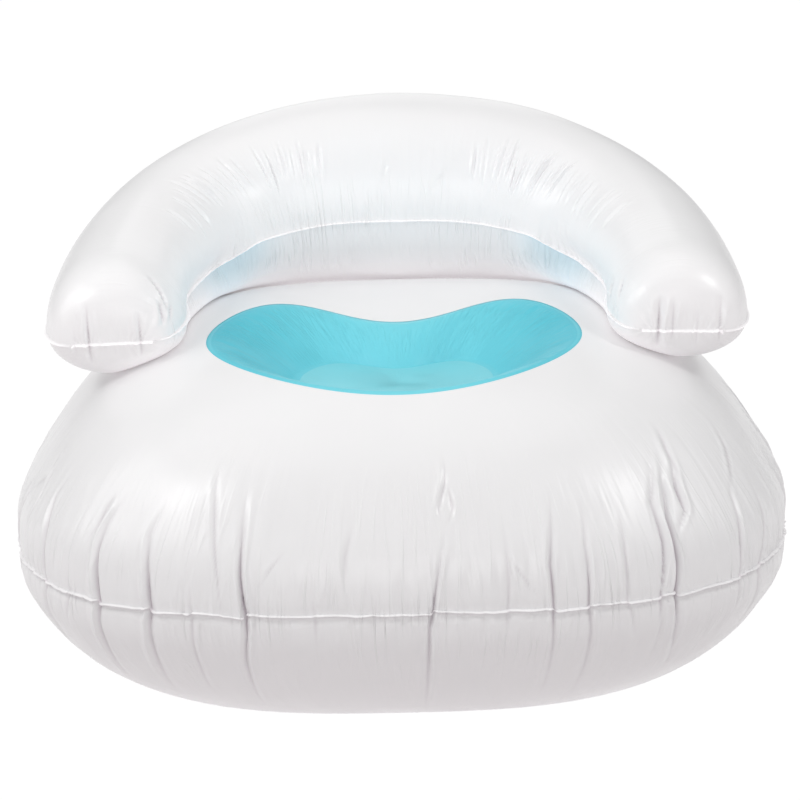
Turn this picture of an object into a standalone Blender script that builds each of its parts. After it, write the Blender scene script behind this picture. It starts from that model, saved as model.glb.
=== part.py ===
"""Inflatable sofa: a domed base cushion with a kidney-shaped seat well and a welded horseshoe backrest.

Every sheet is a thin shell with its real wall, joined to its neighbour along a flat welded fin.
The origin is the centre of the flat floor contact. +X is the sitter's left, +Y the back, +Z up.
"""

import math

import bmesh
import bpy
import numpy as np
from mathutils import Matrix, Vector

MM = 0.001

# Sheets and welds
WALL = 0.4 * MM
WELD_GAP = 0.3 * MM
FIN_WIDTH = 5.0 * MM
CUT_OVERRUN = 4.0 * MM

# Base cushion
BASE_HALF_WIDTH = 540.0 * MM
BASE_HALF_DEPTH = 518.0 * MM
SEAM_HEIGHT = 229.0 * MM
CROWN_HEIGHT = 268.0 * MM
OUTLINE_POWER = 3.0
CROWN_PLAN_POWER = 3.49
CROWN_RISE_POWER = 1.55
UNDERSIDE_POWER = 1.9
FLOOR_SHARE = 0.47
BASE_RAYS = 48
CROWN_SHARES = (0.0, 0.07, 0.20, 0.42, 0.60, 0.76)
UNDERSIDE_SHARES = (0.0, 0.13, 0.34, 0.56, 0.78, 0.93, 1.0)
BLEND_RINGS = 4

# Seat well, a kidney with its hollow side to the back
WELL_HALF_WIDTH = 264.8 * MM
WELL_CENTRE_Y = -112.5 * MM
WELL_FRONT_DEPTH = 223.3 * MM
WELL_NOTCH_DEPTH = 104.4 * MM
WELL_LOBE_RISE = 148.2 * MM
WELL_LOBE_X = 233.5 * MM
WELL_DEPTH = 70.0 * MM
RIM_SAG = 22.0 * MM
RIM_SAG_POWER = 6.0
WELL_FLOOR_SHARE = 0.55
WELL_FLOOR_Y = -180.0 * MM
WELL_FLANGE = 8.0 * MM
WELL_WALL_SHARES = (0.28, 0.54, 0.78, 1.0)
WELL_WALL_POWER = 1.5
PATCH_SHARE = 0.93
PATCH_WALL = 0.5 * MM

# Tethers that hold the well's floor down to the underside
TETHER_SPACING = 85.0 * MM
TETHER_WIDTH = 60.0 * MM
TETHER_FLANGE = 34.0 * MM
TETHER_WALL = 0.6 * MM
TETHER_SETBACK = 63.5 * MM
ANCHOR_WALL = 0.5 * MM
ANCHOR_MARGIN = 10.0 * MM
ANCHOR_POWER = 5.0

# Backrest: half a superellipse in a tilted plane, with its arm ends brought forward and up
BACK_SPAN_INSET = 129.0 * MM
BACK_REACH = 457.0 * MM
BACK_OFFSET = 19.0 * MM
BACK_PLANE_DROP = 182.0 * MM
BACK_TILT = math.radians(37.0)
BACK_SWEEP = math.radians(87.2)
BACK_OUTLINE_POWER = 2.635
ARM_FORWARD = 222.0 * MM
ARM_RISE = 135.0 * MM
ARM_INSET_SHARE = 0.055
BACK_RADIUS = 150.0 * MM
ARM_RADIUS = 95.0 * MM
ARM_UNDER_SHARE = 0.82
ARM_TAPER_POWER = 1.18
ARM_END_LENGTH = 85.0 * MM
ARM_END_CORNER_SHARE = 0.34
SEAM_TWIST = math.radians(-25.0)
BACK_FIN_WIDTH = 4.0 * MM
BACK_STRIPS = 21
BACK_SIDES = 10
ARM_END_ANGLES = tuple(math.radians(a) for a in (90.0, 62.0, 36.0, 15.0))
CONTACT_SOFTNESS = 7.0 * MM
CONTACT_CLEARANCE = 0.6 * MM
CENTRELINE_SAMPLES = 801

# Base valve: a screw-in body in a welded socket, with a stopper and an inward flap
BASE_VALVE_STRIP = 2
SOCKET_BORE = 11.3 * MM
SOCKET_WALL = 1.7 * MM
SOCKET_DEPTH = 18.0 * MM
SOCKET_COLLAR = 6.0 * MM
SOCKET_DISC = 23.0 * MM
SOCKET_DISC_WALL = 1.2 * MM
SEAL_WIDTH = 3.0 * MM
SEAL_WALL = 1.5 * MM
BODY_BORE = 7.0 * MM
BODY_RIM = 16.0 * MM
BODY_RIM_WALL = 3.0 * MM
BODY_NECK = 9.5 * MM
BODY_NECK_HEIGHT = 6.0 * MM
BODY_SHELF = 2.0 * MM
BODY_SHELF_DEPTH = 8.0 * MM
GRIP_LENGTH = 5.0 * MM
GRIP_WIDTH = 3.0 * MM
GRIP_COUNT = 6

# Backrest valve: a stem that slides in a welded sleeve, with a stopper and an inward flap
BACK_VALVE_SIDE = 1
SLEEVE_BORE = 7.3 * MM
SLEEVE_WALL = 1.2 * MM
SLEEVE_DEPTH = 20.0 * MM
SLEEVE_DISC = 18.0 * MM
SLEEVE_DISC_WALL = 1.0 * MM
STEM_BORE = 4.2 * MM
STEM_RIM = 8.8 * MM
STEM_RIM_WALL = 1.4 * MM
STEM_SHELF = 1.2 * MM
STEM_SHELF_DEPTH = 9.0 * MM

# Shared by both valves
FIT_GAP = 0.3 * MM
FLAP_WALL = 0.8 * MM
PLUG_DEPTH = 6.0 * MM
PLUG_HEAD = 2.6 * MM
PLUG_HEAD_WALL = 2.2 * MM
STRAP_WALL = 1.2 * MM
STRAP_RING = 2.0 * MM
STRAP_WIDTH = 5.0 * MM
STRAP_REACH = 5.0 * MM
TURN_SEGMENTS = 20

SHEET_LIFT = WELD_GAP / 2
TETHER_CENTRE_Y = TETHER_SETBACK - FLOOR_SHARE * BASE_HALF_DEPTH
BACK_HALF_SPAN = BASE_HALF_WIDTH - BACK_SPAN_INSET
BACK_PLANE_HEIGHT = SEAM_HEIGHT + CROWN_HEIGHT - BACK_PLANE_DROP
WHITE = (0.86, 0.86, 0.87, 1.0)
CYAN = (0.10, 0.60, 0.74, 1.0)
PALE_CYAN = (0.24, 0.70, 0.80, 1.0)
CLEAR_WHITE = (0.80, 0.82, 0.83, 1.0)
SOFT_GREY = (0.62, 0.64, 0.65, 1.0)


def material(name, colour, roughness):
    """A plain Principled material, made once and shared by name."""
    found = bpy.data.materials.get(name)
    if found:
        return found
    made = bpy.data.materials.new(name)
    made.use_nodes = True
    shader = made.node_tree.nodes["Principled BSDF"]
    shader.inputs["Base Color"].default_value = colour
    shader.inputs["Roughness"].default_value = roughness
    shader.inputs["Metallic"].default_value = 0.0
    return made


def white_film():
    return material("white_film", WHITE, 0.32)


def cyan_film():
    return material("cyan_film", CYAN, 0.38)


def pale_cyan_film():
    return material("pale_cyan_film", PALE_CYAN, 0.38)


def valve_plastic():
    return material("valve_plastic", CLEAR_WHITE, 0.30)


def soft_rubber():
    return material("soft_rubber", SOFT_GREY, 0.55)


def add_object(name, vertices, faces, finish):
    """A named object from points and faces, with its faces turned outwards."""
    mesh = bpy.data.meshes.new(name)
    mesh.from_pydata([tuple(map(float, v)) for v in vertices], [], [tuple(map(int, f)) for f in faces])
    work = bmesh.new()
    work.from_mesh(mesh)
    bmesh.ops.recalc_face_normals(work, faces=work.faces)
    work.to_mesh(mesh)
    work.free()
    mesh.materials.append(finish)
    mesh.shade_smooth()
    mesh.set_sharp_from_angle(angle=math.radians(40))
    made = bpy.data.objects.new(name, mesh)
    bpy.context.scene.collection.objects.link(made)
    return made


def strip_faces(rows, columns, offset, closed):
    """Triangles between the neighbouring rows of a grid, all split along the same diagonal."""
    faces = []
    for row in range(rows - 1):
        for column in range(columns if closed else columns - 1):
            after = (column + 1) % columns
            a = offset + row * columns + column
            b = offset + row * columns + after
            c = a + columns
            d = b + columns
            faces += [(a, b, d), (a, d, c)]
    return faces


def sheet_shell(name, outer, inner, finish, pole=None):
    """A thin shell closed round each ring, from its outer and inner rings of points.

    A pole is the pair of points that the last rings shrink to; without one both edges are open.
    """
    rows, columns = outer.shape[:2]
    count = rows * columns
    vertices = list(outer.reshape(-1, 3)) + list(inner.reshape(-1, 3))
    faces = strip_faces(rows, columns, 0, True) + strip_faces(rows, columns, count, True)
    for column in range(columns):
        after = (column + 1) % columns
        faces += [(column, after, count + after), (column, count + after, count + column)]
        last, last_after = (rows - 1) * columns + column, (rows - 1) * columns + after
        if pole is None:
            faces += [(last, last_after, count + last_after), (last, count + last_after, count + last)]
        else:
            faces += [(last, last_after, 2 * count), (count + last, count + last_after, 2 * count + 1)]
    if pole is not None:
        vertices += list(pole)
    return add_object(name, vertices, faces, finish)


def open_shell(name, outer, inner, finish):
    """A thin shell over an open grid, walled along its four edges."""
    rows, columns = outer.shape[:2]
    count = rows * columns
    vertices = list(outer.reshape(-1, 3)) + list(inner.reshape(-1, 3))
    faces = strip_faces(rows, columns, 0, False) + strip_faces(rows, columns, count, False)
    edge = [column for column in range(columns)]
    edge += [row * columns + columns - 1 for row in range(1, rows)]
    edge += [(rows - 1) * columns + column for column in range(columns - 2, -1, -1)]
    edge += [row * columns for row in range(rows - 2, 0, -1)]
    for here, there in zip(edge, edge[1:] + edge[:1]):
        faces += [(here, there, count + there), (here, count + there, count + here)]
    return add_object(name, vertices, faces, finish)


def grid_normals(points, outward):
    """Unit normals of a grid of rings, on the side that the outward point lies away from."""
    along = np.roll(points, -1, axis=1) - np.roll(points, 1, axis=1)
    across = np.gradient(points, axis=0)
    normals = np.cross(along, across)
    normals /= np.linalg.norm(normals, axis=2)[:, :, None]
    side = np.sign(((points - outward) * normals).sum(axis=2))
    return normals * side[:, :, None]


def unit(vectors):
    return vectors / np.linalg.norm(vectors, axis=1)[:, None]


# Base cushion


def ray_angles():
    """Directions of the base's rays, set so that one facet faces straight back."""
    step = 2 * math.pi / BASE_RAYS
    return math.pi / 2 + step * (np.arange(BASE_RAYS) + 0.5)


def superellipse(half_width, half_depth, power):
    """A superellipse in plan, with one point for each ray."""
    angle = ray_angles()
    x, y = np.cos(angle), np.sin(angle)
    reach = (np.abs(x / half_width) ** power + np.abs(y / half_depth) ** power) ** (-1 / power)
    return np.column_stack([reach * x, reach * y])


def base_outline():
    """The welded seam seen from above."""
    return superellipse(BASE_HALF_WIDTH, BASE_HALF_DEPTH, OUTLINE_POWER)


def crown_height(x, y):
    """Height of the top sheet's outer face over a point of the plan."""
    ratio = np.abs(x / BASE_HALF_WIDTH) ** OUTLINE_POWER + np.abs(y / BASE_HALF_DEPTH) ** OUTLINE_POWER
    inside = np.clip(1 - ratio ** (CROWN_PLAN_POWER / OUTLINE_POWER), 0, 1)
    return SEAM_HEIGHT + SHEET_LIFT + WALL + CROWN_HEIGHT * inside ** (1 / CROWN_RISE_POWER)


def with_height(plan, height):
    return np.column_stack([plan, np.broadcast_to(height, len(plan))])


def well_outline():
    """The kidney rim from above, one point for each of the base's rays."""
    turn = ray_angles() - math.pi / 2
    x = WELL_HALF_WIDTH * -np.sin(turn)
    lobe = np.sin(np.clip(math.pi * x / (2 * WELL_LOBE_X), -math.pi / 2, math.pi / 2)) ** 2
    back = WELL_NOTCH_DEPTH + WELL_LOBE_RISE * lobe
    depth = np.where(np.cos(turn) > 0, back, WELL_FRONT_DEPTH)
    return np.column_stack([x, WELL_CENTRE_Y + depth * np.cos(turn)])


def rim_sag():
    """How far the tethers draw the rim down below the dome, most at the notch."""
    return RIM_SAG * np.clip(np.cos(ray_angles() - math.pi / 2), 0, 1) ** RIM_SAG_POWER


def crown_rings():
    """Rings of the top sheet's outer face, from the kidney rim out to the seam."""
    outline = base_outline()
    shares = np.array(CROWN_SHARES[::-1])
    scales = (1 - shares**CROWN_RISE_POWER) ** (1 / CROWN_PLAN_POWER)
    rings = []
    rim = well_outline()
    for step in range(BLEND_RINGS):
        plan = rim + (outline * scales[0] - rim) * step / BLEND_RINGS
        sag = rim_sag() * (1 - step / BLEND_RINGS) ** 2
        rings.append(with_height(plan, crown_height(plan[:, 0], plan[:, 1]) - sag))
    for scale, share in zip(scales, shares):
        height = SEAM_HEIGHT + SHEET_LIFT + WALL + CROWN_HEIGHT * share
        rings.append(with_height(outline * scale, height))
    rings.insert(1, rings[0] + WELL_FLANGE * unit(rings[1] - rings[0]))
    return np.array(rings)


def base_top_sheet():
    """The white dome with its kidney cut-out and its half of the seam fin."""
    outer = crown_rings()
    inner = outer - WALL * grid_normals(outer, np.zeros(3))
    outline = base_outline()
    inner[-1] = with_height(outline * (1 - WALL / BASE_HALF_WIDTH), SEAM_HEIGHT + SHEET_LIFT)
    fin = outline * (1 + FIN_WIDTH / BASE_HALF_WIDTH)
    outer = np.concatenate([outer, [with_height(fin, SEAM_HEIGHT + SHEET_LIFT + WALL)]])
    inner = np.concatenate([inner, [with_height(fin, SEAM_HEIGHT + SHEET_LIFT)]])
    return sheet_shell("base_top_sheet", outer, inner, white_film()), outer


def base_bottom_sheet():
    """The white underside: the other half of the fin, a rounded flank and a flat floor contact."""
    outline = base_outline()
    top = SEAM_HEIGHT - SHEET_LIFT - WALL
    rings = []
    for share in UNDERSIDE_SHARES:
        scale = FLOOR_SHARE + (1 - FLOOR_SHARE) * (1 - share**UNDERSIDE_POWER) ** (1 / UNDERSIDE_POWER)
        rings.append(with_height(outline * scale, top * (1 - share)))
    outer = np.array(rings)
    inner = outer - WALL * grid_normals(outer, np.array([0, 0, SEAM_HEIGHT]))
    inner[0] = with_height(outline * (1 - WALL / BASE_HALF_WIDTH), top + WALL)
    inner[-1] = outer[-1] + np.array([0, 0, WALL])
    fin = outline * (1 + FIN_WIDTH / BASE_HALF_WIDTH)
    outer = np.concatenate([[with_height(fin, top)], outer])
    inner = np.concatenate([[with_height(fin, top + WALL)], inner])
    pole = (np.zeros(3), np.array([0, 0, WALL]))
    return sheet_shell("base_bottom_sheet", outer, inner, white_film(), pole)


def well_floor_height():
    return float(crown_height(0.0, 0.0)) - WELL_DEPTH


def floor_outline(share):
    """The kidney of the well's floor, shrunk by a share about the floor's centre."""
    centre = np.array([0, WELL_FLOOR_Y])
    return centre + (well_outline() - centre) * WELL_FLOOR_SHARE * share


def seat_well():
    """The cyan pan: a flange under the kidney rim, a sloping wall and a flat floor."""
    crown = crown_rings()
    rim, flange = crown[:2]
    normal = grid_normals(crown, np.zeros(3))[0]
    drop = (WALL + WELD_GAP) * normal
    centre = np.array([0, WELL_FLOOR_Y, 0])
    inward = (centre - rim) * np.array([1, 1, 0])
    inward /= np.linalg.norm(inward, axis=1)[:, None]
    margin = rim + inward * WELL_FLANGE
    margin[:, 2] = crown_height(margin[:, 0], margin[:, 1]) - rim_sag()
    rows = [flange - drop, rim - drop, margin - drop]
    foot = floor_outline(1)
    bottom = well_floor_height()
    for share in WELL_WALL_SHARES:
        plan = margin[:, :2] + (foot - margin[:, :2]) * share
        fall = share**WELL_WALL_POWER
        rows.append(with_height(plan, (margin - drop)[:, 2] * (1 - fall) + bottom * fall))
    outer = np.array(rows)
    inner = outer - WALL * grid_normals(outer, np.zeros(3))
    inner[0] = outer[0] - WALL * normal
    inner[1] = outer[1] - WALL * normal
    inner[-1] = outer[-1] - np.array([0, 0, WALL])
    middle = np.array([0, WELL_FLOOR_Y, bottom])
    pole = (middle, middle - np.array([0, 0, WALL]))
    return sheet_shell("seat_well", outer, inner, cyan_film(), pole)


def plate(name, plan, centre_y, low, thickness, finish):
    """A flat plate over an outline, with its underside at one height."""
    over = with_height(plan, low + thickness)[None]
    under = with_height(plan, low)[None]
    pole = (np.array([0, centre_y, low + thickness]), np.array([0, centre_y, low]))
    return sheet_shell(name, over, under, finish, pole)


def seat_floor_patch():
    """The paler kidney welded on the well's floor over the tethers' heads."""
    low = well_floor_height() + WELD_GAP
    return plate("seat_floor_patch", floor_outline(PATCH_SHARE), WELL_FLOOR_Y, low, PATCH_WALL, pale_cyan_film())


def tether_anchor_patch():
    """The plate on the underside's floor that the tethers' feet are welded to."""
    half_width = TETHER_SPACING + TETHER_FLANGE / 2 + ANCHOR_MARGIN
    half_depth = TETHER_WIDTH / 2 + ANCHOR_MARGIN
    plan = superellipse(half_width, half_depth, ANCHOR_POWER) + np.array([0, TETHER_CENTRE_Y])
    low = WALL + WELD_GAP
    return plate("tether_anchor_patch", plan, TETHER_CENTRE_Y, low, ANCHOR_WALL, white_film())


def tether(name, x):
    """An upright web with a weld flange at its foot and head, in one I-shaped strip."""
    foot = WALL + WELD_GAP + ANCHOR_WALL + WELD_GAP
    head = well_floor_height() - WALL - WELD_GAP
    wide, thin = TETHER_FLANGE / 2, TETHER_WALL / 2
    half = [(wide, foot), (wide, foot + TETHER_WALL), (thin, foot + TETHER_WALL)]
    half += [(thin, head - TETHER_WALL), (wide, head - TETHER_WALL), (wide, head)]
    profile = half + [(-across, up) for across, up in reversed(half)]
    near, far = TETHER_CENTRE_Y - TETHER_WIDTH / 2, TETHER_CENTRE_Y + TETHER_WIDTH / 2
    count = len(profile)
    vertices = [(x + across, y, up) for y in (near, far) for across, up in profile]
    faces = [tuple(range(count)), tuple(range(2 * count - 1, count - 1, -1))]
    for here in range(count):
        there = (here + 1) % count
        faces.append((here, there, count + there, count + here))
    return add_object(name, vertices, faces, white_film())


# Backrest


def centreline():
    """Fine samples of the backrest's centreline with their share of the sweep and arc length."""
    share = np.linspace(-1, 1, CENTRELINE_SAMPLES)
    sine, cosine = np.sin(share * BACK_SWEEP), np.cos(share * BACK_SWEEP)
    arm = np.abs(share) ** 3
    x = BACK_HALF_SPAN * np.sign(sine) * np.abs(sine) ** (2 / BACK_OUTLINE_POWER) * (1 - ARM_INSET_SHARE * arm)
    y = BACK_OFFSET + BACK_REACH * np.abs(cosine) ** (2 / BACK_OUTLINE_POWER)
    depth = y * math.cos(BACK_TILT) - ARM_FORWARD * arm
    height = BACK_PLANE_HEIGHT + y * math.sin(BACK_TILT) + ARM_RISE * arm
    points = np.column_stack([x, depth, height])
    steps = np.linalg.norm(np.diff(points, axis=0), axis=1)
    return share, points, np.concatenate([[0], np.cumsum(steps)])


def sample(values, at, lengths):
    """Each column of values, read at the given arc lengths."""
    return np.column_stack([np.interp(at, lengths, column) for column in values.T])


def backrest_stations():
    """Arc lengths and end angles of the cross-sections, closer together round each arm's end."""
    total = centreline()[2][-1]
    ends = np.array(ARM_END_ANGLES)
    near = ARM_END_LENGTH * (1 - np.sin(ends))
    body = np.linspace(ARM_END_LENGTH, total - ARM_END_LENGTH, BACK_STRIPS + 1)
    at = np.concatenate([near, body, total - near[::-1]])
    angle = np.concatenate([ends, np.zeros(BACK_STRIPS + 1), ends[::-1]])
    return at, angle


def backrest_frames(side):
    """Centre, forward, outward and upward directions, half width and half height of each section.

    side is 1 for the upper sheet and -1 for the lower, which is flatter at the arm ends.
    """
    share, points, lengths = centreline()
    at, angle = backrest_stations()
    centre = sample(points, at, lengths)
    forward = unit(sample(np.gradient(points, lengths, axis=0), at, lengths))
    plane_up = np.array([0, -math.sin(BACK_TILT), math.cos(BACK_TILT)])
    outward = unit(np.cross(plane_up, forward))
    upward = unit(np.cross(forward, outward))
    where = np.interp(at, lengths, share)
    radius = ARM_RADIUS + (BACK_RADIUS - ARM_RADIUS) * (1 - np.abs(where) ** ARM_TAPER_POWER)
    twist = (SEAM_TWIST * (1 - where**2))[:, None]
    turned_out = outward * np.cos(twist) + upward * np.sin(twist)
    turned_up = upward * np.cos(twist) - outward * np.sin(twist)
    width = radius * (1 - ARM_END_CORNER_SHARE * (1 - np.cos(angle)))
    height = radius * np.cos(angle)
    if side < 0:
        height = height * (1 - (1 - ARM_UNDER_SHARE) * np.abs(where) ** 3)
    return centre, forward, turned_out, turned_up, width, height, angle


def settled(points):
    """Points of the backrest, eased up to just above the base's dome where they would sink into it."""
    ratio = np.abs(points[..., 0] / BASE_HALF_WIDTH) ** OUTLINE_POWER
    ratio = ratio + np.abs(points[..., 1] / BASE_HALF_DEPTH) ** OUTLINE_POWER
    ground = crown_height(points[..., 0], points[..., 1]) + CONTACT_CLEARANCE
    above = points[..., 2] - ground
    eased = (above + np.sqrt(above**2 + 4 * CONTACT_SOFTNESS**2)) / 2
    raised = points.copy()
    raised[..., 2] = np.where(ratio < 1, ground + eased, points[..., 2])
    return raised


def backrest_face(side, depth):
    """Points of one sheet's outer face, or its inner face when depth is the wall.

    side is 1 for the upper sheet and -1 for the lower. Rows run along the tube with one more
    row at each end for the fin, and columns run from the outer seam over to the inner seam.
    """
    centre, forward, outward, upward, width, height, angle = backrest_frames(side)
    sweep = np.linspace(0, math.pi, BACK_SIDES + 1)
    edge = (width + BACK_FIN_WIDTH)[:, None]
    across = np.concatenate([edge, width[:, None] * np.cos(sweep), -edge], axis=1)
    rise = np.concatenate([0 * edge, height[:, None] * np.sin(sweep), 0 * edge], axis=1)
    inset = np.concatenate([[0], np.cos(sweep), [0]]) * depth
    body = centre[:, None] + outward[:, None] * across[:, :, None] + side * upward[:, None] * rise[:, :, None]
    ends = []
    for row, direction in ((0, -1), (-1, 1)):
        ends.append(body[row] + forward[row] * direction * BACK_FIN_WIDTH)
    face = settled(np.concatenate([[ends[0]], body, [ends[1]]]))
    rows = np.concatenate([[0], np.arange(len(angle)), [-1]]).astype(int)
    face += side * upward[rows][:, None] * (SHEET_LIFT + WALL - depth)
    face -= outward[rows][:, None] * inset[None, :, None]
    back = np.sin(angle) * depth
    back[: len(angle) // 2] *= -1
    back = np.concatenate([[0], back, [0]])
    return face - forward[rows][:, None] * back[:, None, None]


def backrest_sheet(name, side):
    outer = backrest_face(side, 0)
    inner = backrest_face(side, WALL)
    return open_shell(name, outer, inner, white_film()), outer


# Valves


def seat_frame(corners):
    """A frame on a four-cornered facet: its centre, with Z along the facet's outward normal."""
    centre = corners.mean(axis=0)
    normal = np.cross(corners[2] - corners[0], corners[3] - corners[1])
    normal /= np.linalg.norm(normal)
    if normal[1] < 0:
        normal = -normal
    side = np.array([1.0, 0, 0])
    over = np.cross(normal, side)
    frame = np.eye(4)
    frame[:3, 0], frame[:3, 1], frame[:3, 2], frame[:3, 3] = side, over, normal, centre
    return Matrix([list(row) for row in frame])


def turned(name, profile, finish, frame):
    """A solid of revolution about the frame's Z from a closed outline of (radius, height).

    Two outline points on the axis close the solid there.
    """
    vertices, rings = [], []
    for radius, height in profile:
        if radius == 0:
            rings.append([len(vertices)] * TURN_SEGMENTS)
            vertices.append((0, 0, height))
            continue
        rings.append(list(range(len(vertices), len(vertices) + TURN_SEGMENTS)))
        for step in range(TURN_SEGMENTS):
            turn = 2 * math.pi * step / TURN_SEGMENTS
            vertices.append((radius * math.cos(turn), radius * math.sin(turn), height))
    faces = []
    for here, there in zip(rings, rings[1:] + rings[:1]):
        for step in range(TURN_SEGMENTS):
            after = (step + 1) % TURN_SEGMENTS
            corners = [here[step], here[after], there[after], there[step]]
            face = [c for at, c in enumerate(corners) if c not in corners[:at]]
            if len(face) > 2:
                faces.append(face)
    made = add_object(name, vertices, faces, finish)
    made.matrix_world = frame
    return made


def bar(name, size, centre, frame):
    """A plain box in the frame, used as a part of a joined solid."""
    half = [s / 2 for s in size]
    corners = [(x, y, z) for x in (-1, 1) for y in (-1, 1) for z in (-1, 1)]
    vertices = [[c * h + m for c, h, m in zip(corner, half, centre)] for corner in corners]
    faces = [(0, 1, 3, 2), (4, 6, 7, 5), (0, 4, 5, 1), (2, 3, 7, 6), (0, 2, 6, 4), (1, 5, 7, 3)]
    made = add_object(name, vertices, faces, valve_plastic())
    made.matrix_world = frame
    return made


def combine(target, other, operation):
    """Joins other to target, or cuts it away, and removes it."""
    step = target.modifiers.new(operation.lower(), "BOOLEAN")
    step.operation = operation
    step.solver = "EXACT"
    step.object = other
    bpy.context.view_layer.update()
    result = bpy.data.meshes.new_from_object(target.evaluated_get(bpy.context.evaluated_depsgraph_get()))
    target.modifiers.remove(step)
    target.data = result
    bpy.data.objects.remove(other)
    return target


def bore_sheet(sheet, radius, frame):
    """A round hole through a sheet where a valve passes."""
    reach = WALL + CUT_OVERRUN
    profile = [(0, -reach), (radius, -reach), (radius, reach), (0, reach)]
    combine(sheet, turned("hole", profile, valve_plastic(), frame), "DIFFERENCE")


def check_flap(name, radius, top, frame):
    """A soft disc that the air inside presses up against the shelf above it."""
    profile = [(0, top - FLAP_WALL), (radius, top - FLAP_WALL), (radius, top), (0, top)]
    return turned(name, profile, soft_rubber(), frame)


def stopper(name, bore, lip, frame):
    """A push-in plug: a stem in the bore and a wider head over its lip."""
    stem = bore - FIT_GAP
    head = bore + PLUG_HEAD
    top = lip + FIT_GAP
    profile = [(0, lip - PLUG_DEPTH), (stem, lip - PLUG_DEPTH), (stem, top), (head, top)]
    profile += [(head, top + PLUG_HEAD_WALL), (0, top + PLUG_HEAD_WALL)]
    return turned(name, profile, valve_plastic(), frame), top + PLUG_HEAD_WALL


def plug_strap(name, neck, low, high, frame):
    """A leash: a loose ring round the neck, a tongue up beside the plug and a tab over its head."""
    inner = neck + FIT_GAP
    outer = inner + STRAP_RING
    top = high + FIT_GAP
    ring = [(inner, low), (outer, low), (outer, low + STRAP_WALL), (inner, low + STRAP_WALL)]
    leash = turned(name, ring, valve_plastic(), frame)
    reach = outer + STRAP_REACH
    lower = (reach - inner, STRAP_WIDTH, STRAP_WALL)
    combine(leash, bar("tongue", lower, (-(reach + inner) / 2, 0, low + STRAP_WALL / 2), frame), "UNION")
    rise = (STRAP_WALL, STRAP_WIDTH, top + STRAP_WALL - low)
    combine(leash, bar("rise", rise, (-reach, 0, (top + STRAP_WALL + low) / 2), frame), "UNION")
    tab = (reach, STRAP_WIDTH, STRAP_WALL)
    combine(leash, bar("tab", tab, (-reach / 2, 0, top + STRAP_WALL / 2), frame), "UNION")
    return leash


def base_valve(frame):
    """Socket, seal, screw-in body, flap, plug and leash of the base's valve."""
    low = FIT_GAP
    disc_top = low + SOCKET_DISC_WALL
    tube = SOCKET_BORE + SOCKET_WALL
    profile = [(SOCKET_BORE, -SOCKET_DEPTH), (tube, -SOCKET_DEPTH), (tube, low), (SOCKET_DISC, low)]
    profile += [(SOCKET_DISC, disc_top), (tube, disc_top), (tube, SOCKET_COLLAR), (SOCKET_BORE, SOCKET_COLLAR)]
    turned("base_valve_socket", profile, valve_plastic(), frame)

    seal_low = SOCKET_COLLAR + FIT_GAP
    seal_top = seal_low + SEAL_WALL
    seal = [(SOCKET_BORE, seal_low), (SOCKET_BORE + SEAL_WIDTH, seal_low)]
    seal += [(SOCKET_BORE + SEAL_WIDTH, seal_top), (SOCKET_BORE, seal_top)]
    turned("base_valve_seal", seal, soft_rubber(), frame)

    rim_low = seal_top + FIT_GAP
    rim_top = rim_low + BODY_RIM_WALL
    lip = rim_top + BODY_NECK_HEIGHT
    outer = SOCKET_BORE - FIT_GAP
    shelf = BODY_BORE - BODY_SHELF
    shelf_top = -BODY_SHELF_DEPTH
    shelf_low = shelf_top - BODY_SHELF
    body = [(BODY_BORE, -SOCKET_DEPTH), (outer, -SOCKET_DEPTH), (outer, rim_low), (BODY_RIM, rim_low)]
    body += [(BODY_RIM, rim_top), (BODY_NECK, rim_top), (BODY_NECK, lip), (BODY_BORE, lip)]
    body += [(BODY_BORE, shelf_top), (shelf, shelf_top), (shelf, shelf_low), (BODY_BORE, shelf_low)]
    screw = turned("base_valve_body", body, valve_plastic(), frame)
    for count in range(GRIP_COUNT):
        turn = Matrix.Rotation(2 * math.pi * (count + 0.5) / GRIP_COUNT, 4, "Z")
        size = (GRIP_LENGTH, GRIP_WIDTH, BODY_RIM_WALL)
        centre = (BODY_RIM, 0, (rim_low + rim_top) / 2)
        combine(screw, bar("grip", size, centre, frame @ turn), "UNION")

    check_flap("base_valve_flap", BODY_BORE - 2 * FIT_GAP, shelf_low - FIT_GAP, frame)
    head = stopper("base_valve_plug", BODY_BORE, lip, frame)[1]
    plug_strap("base_plug_strap", BODY_NECK, rim_top + FIT_GAP, head, frame)


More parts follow.
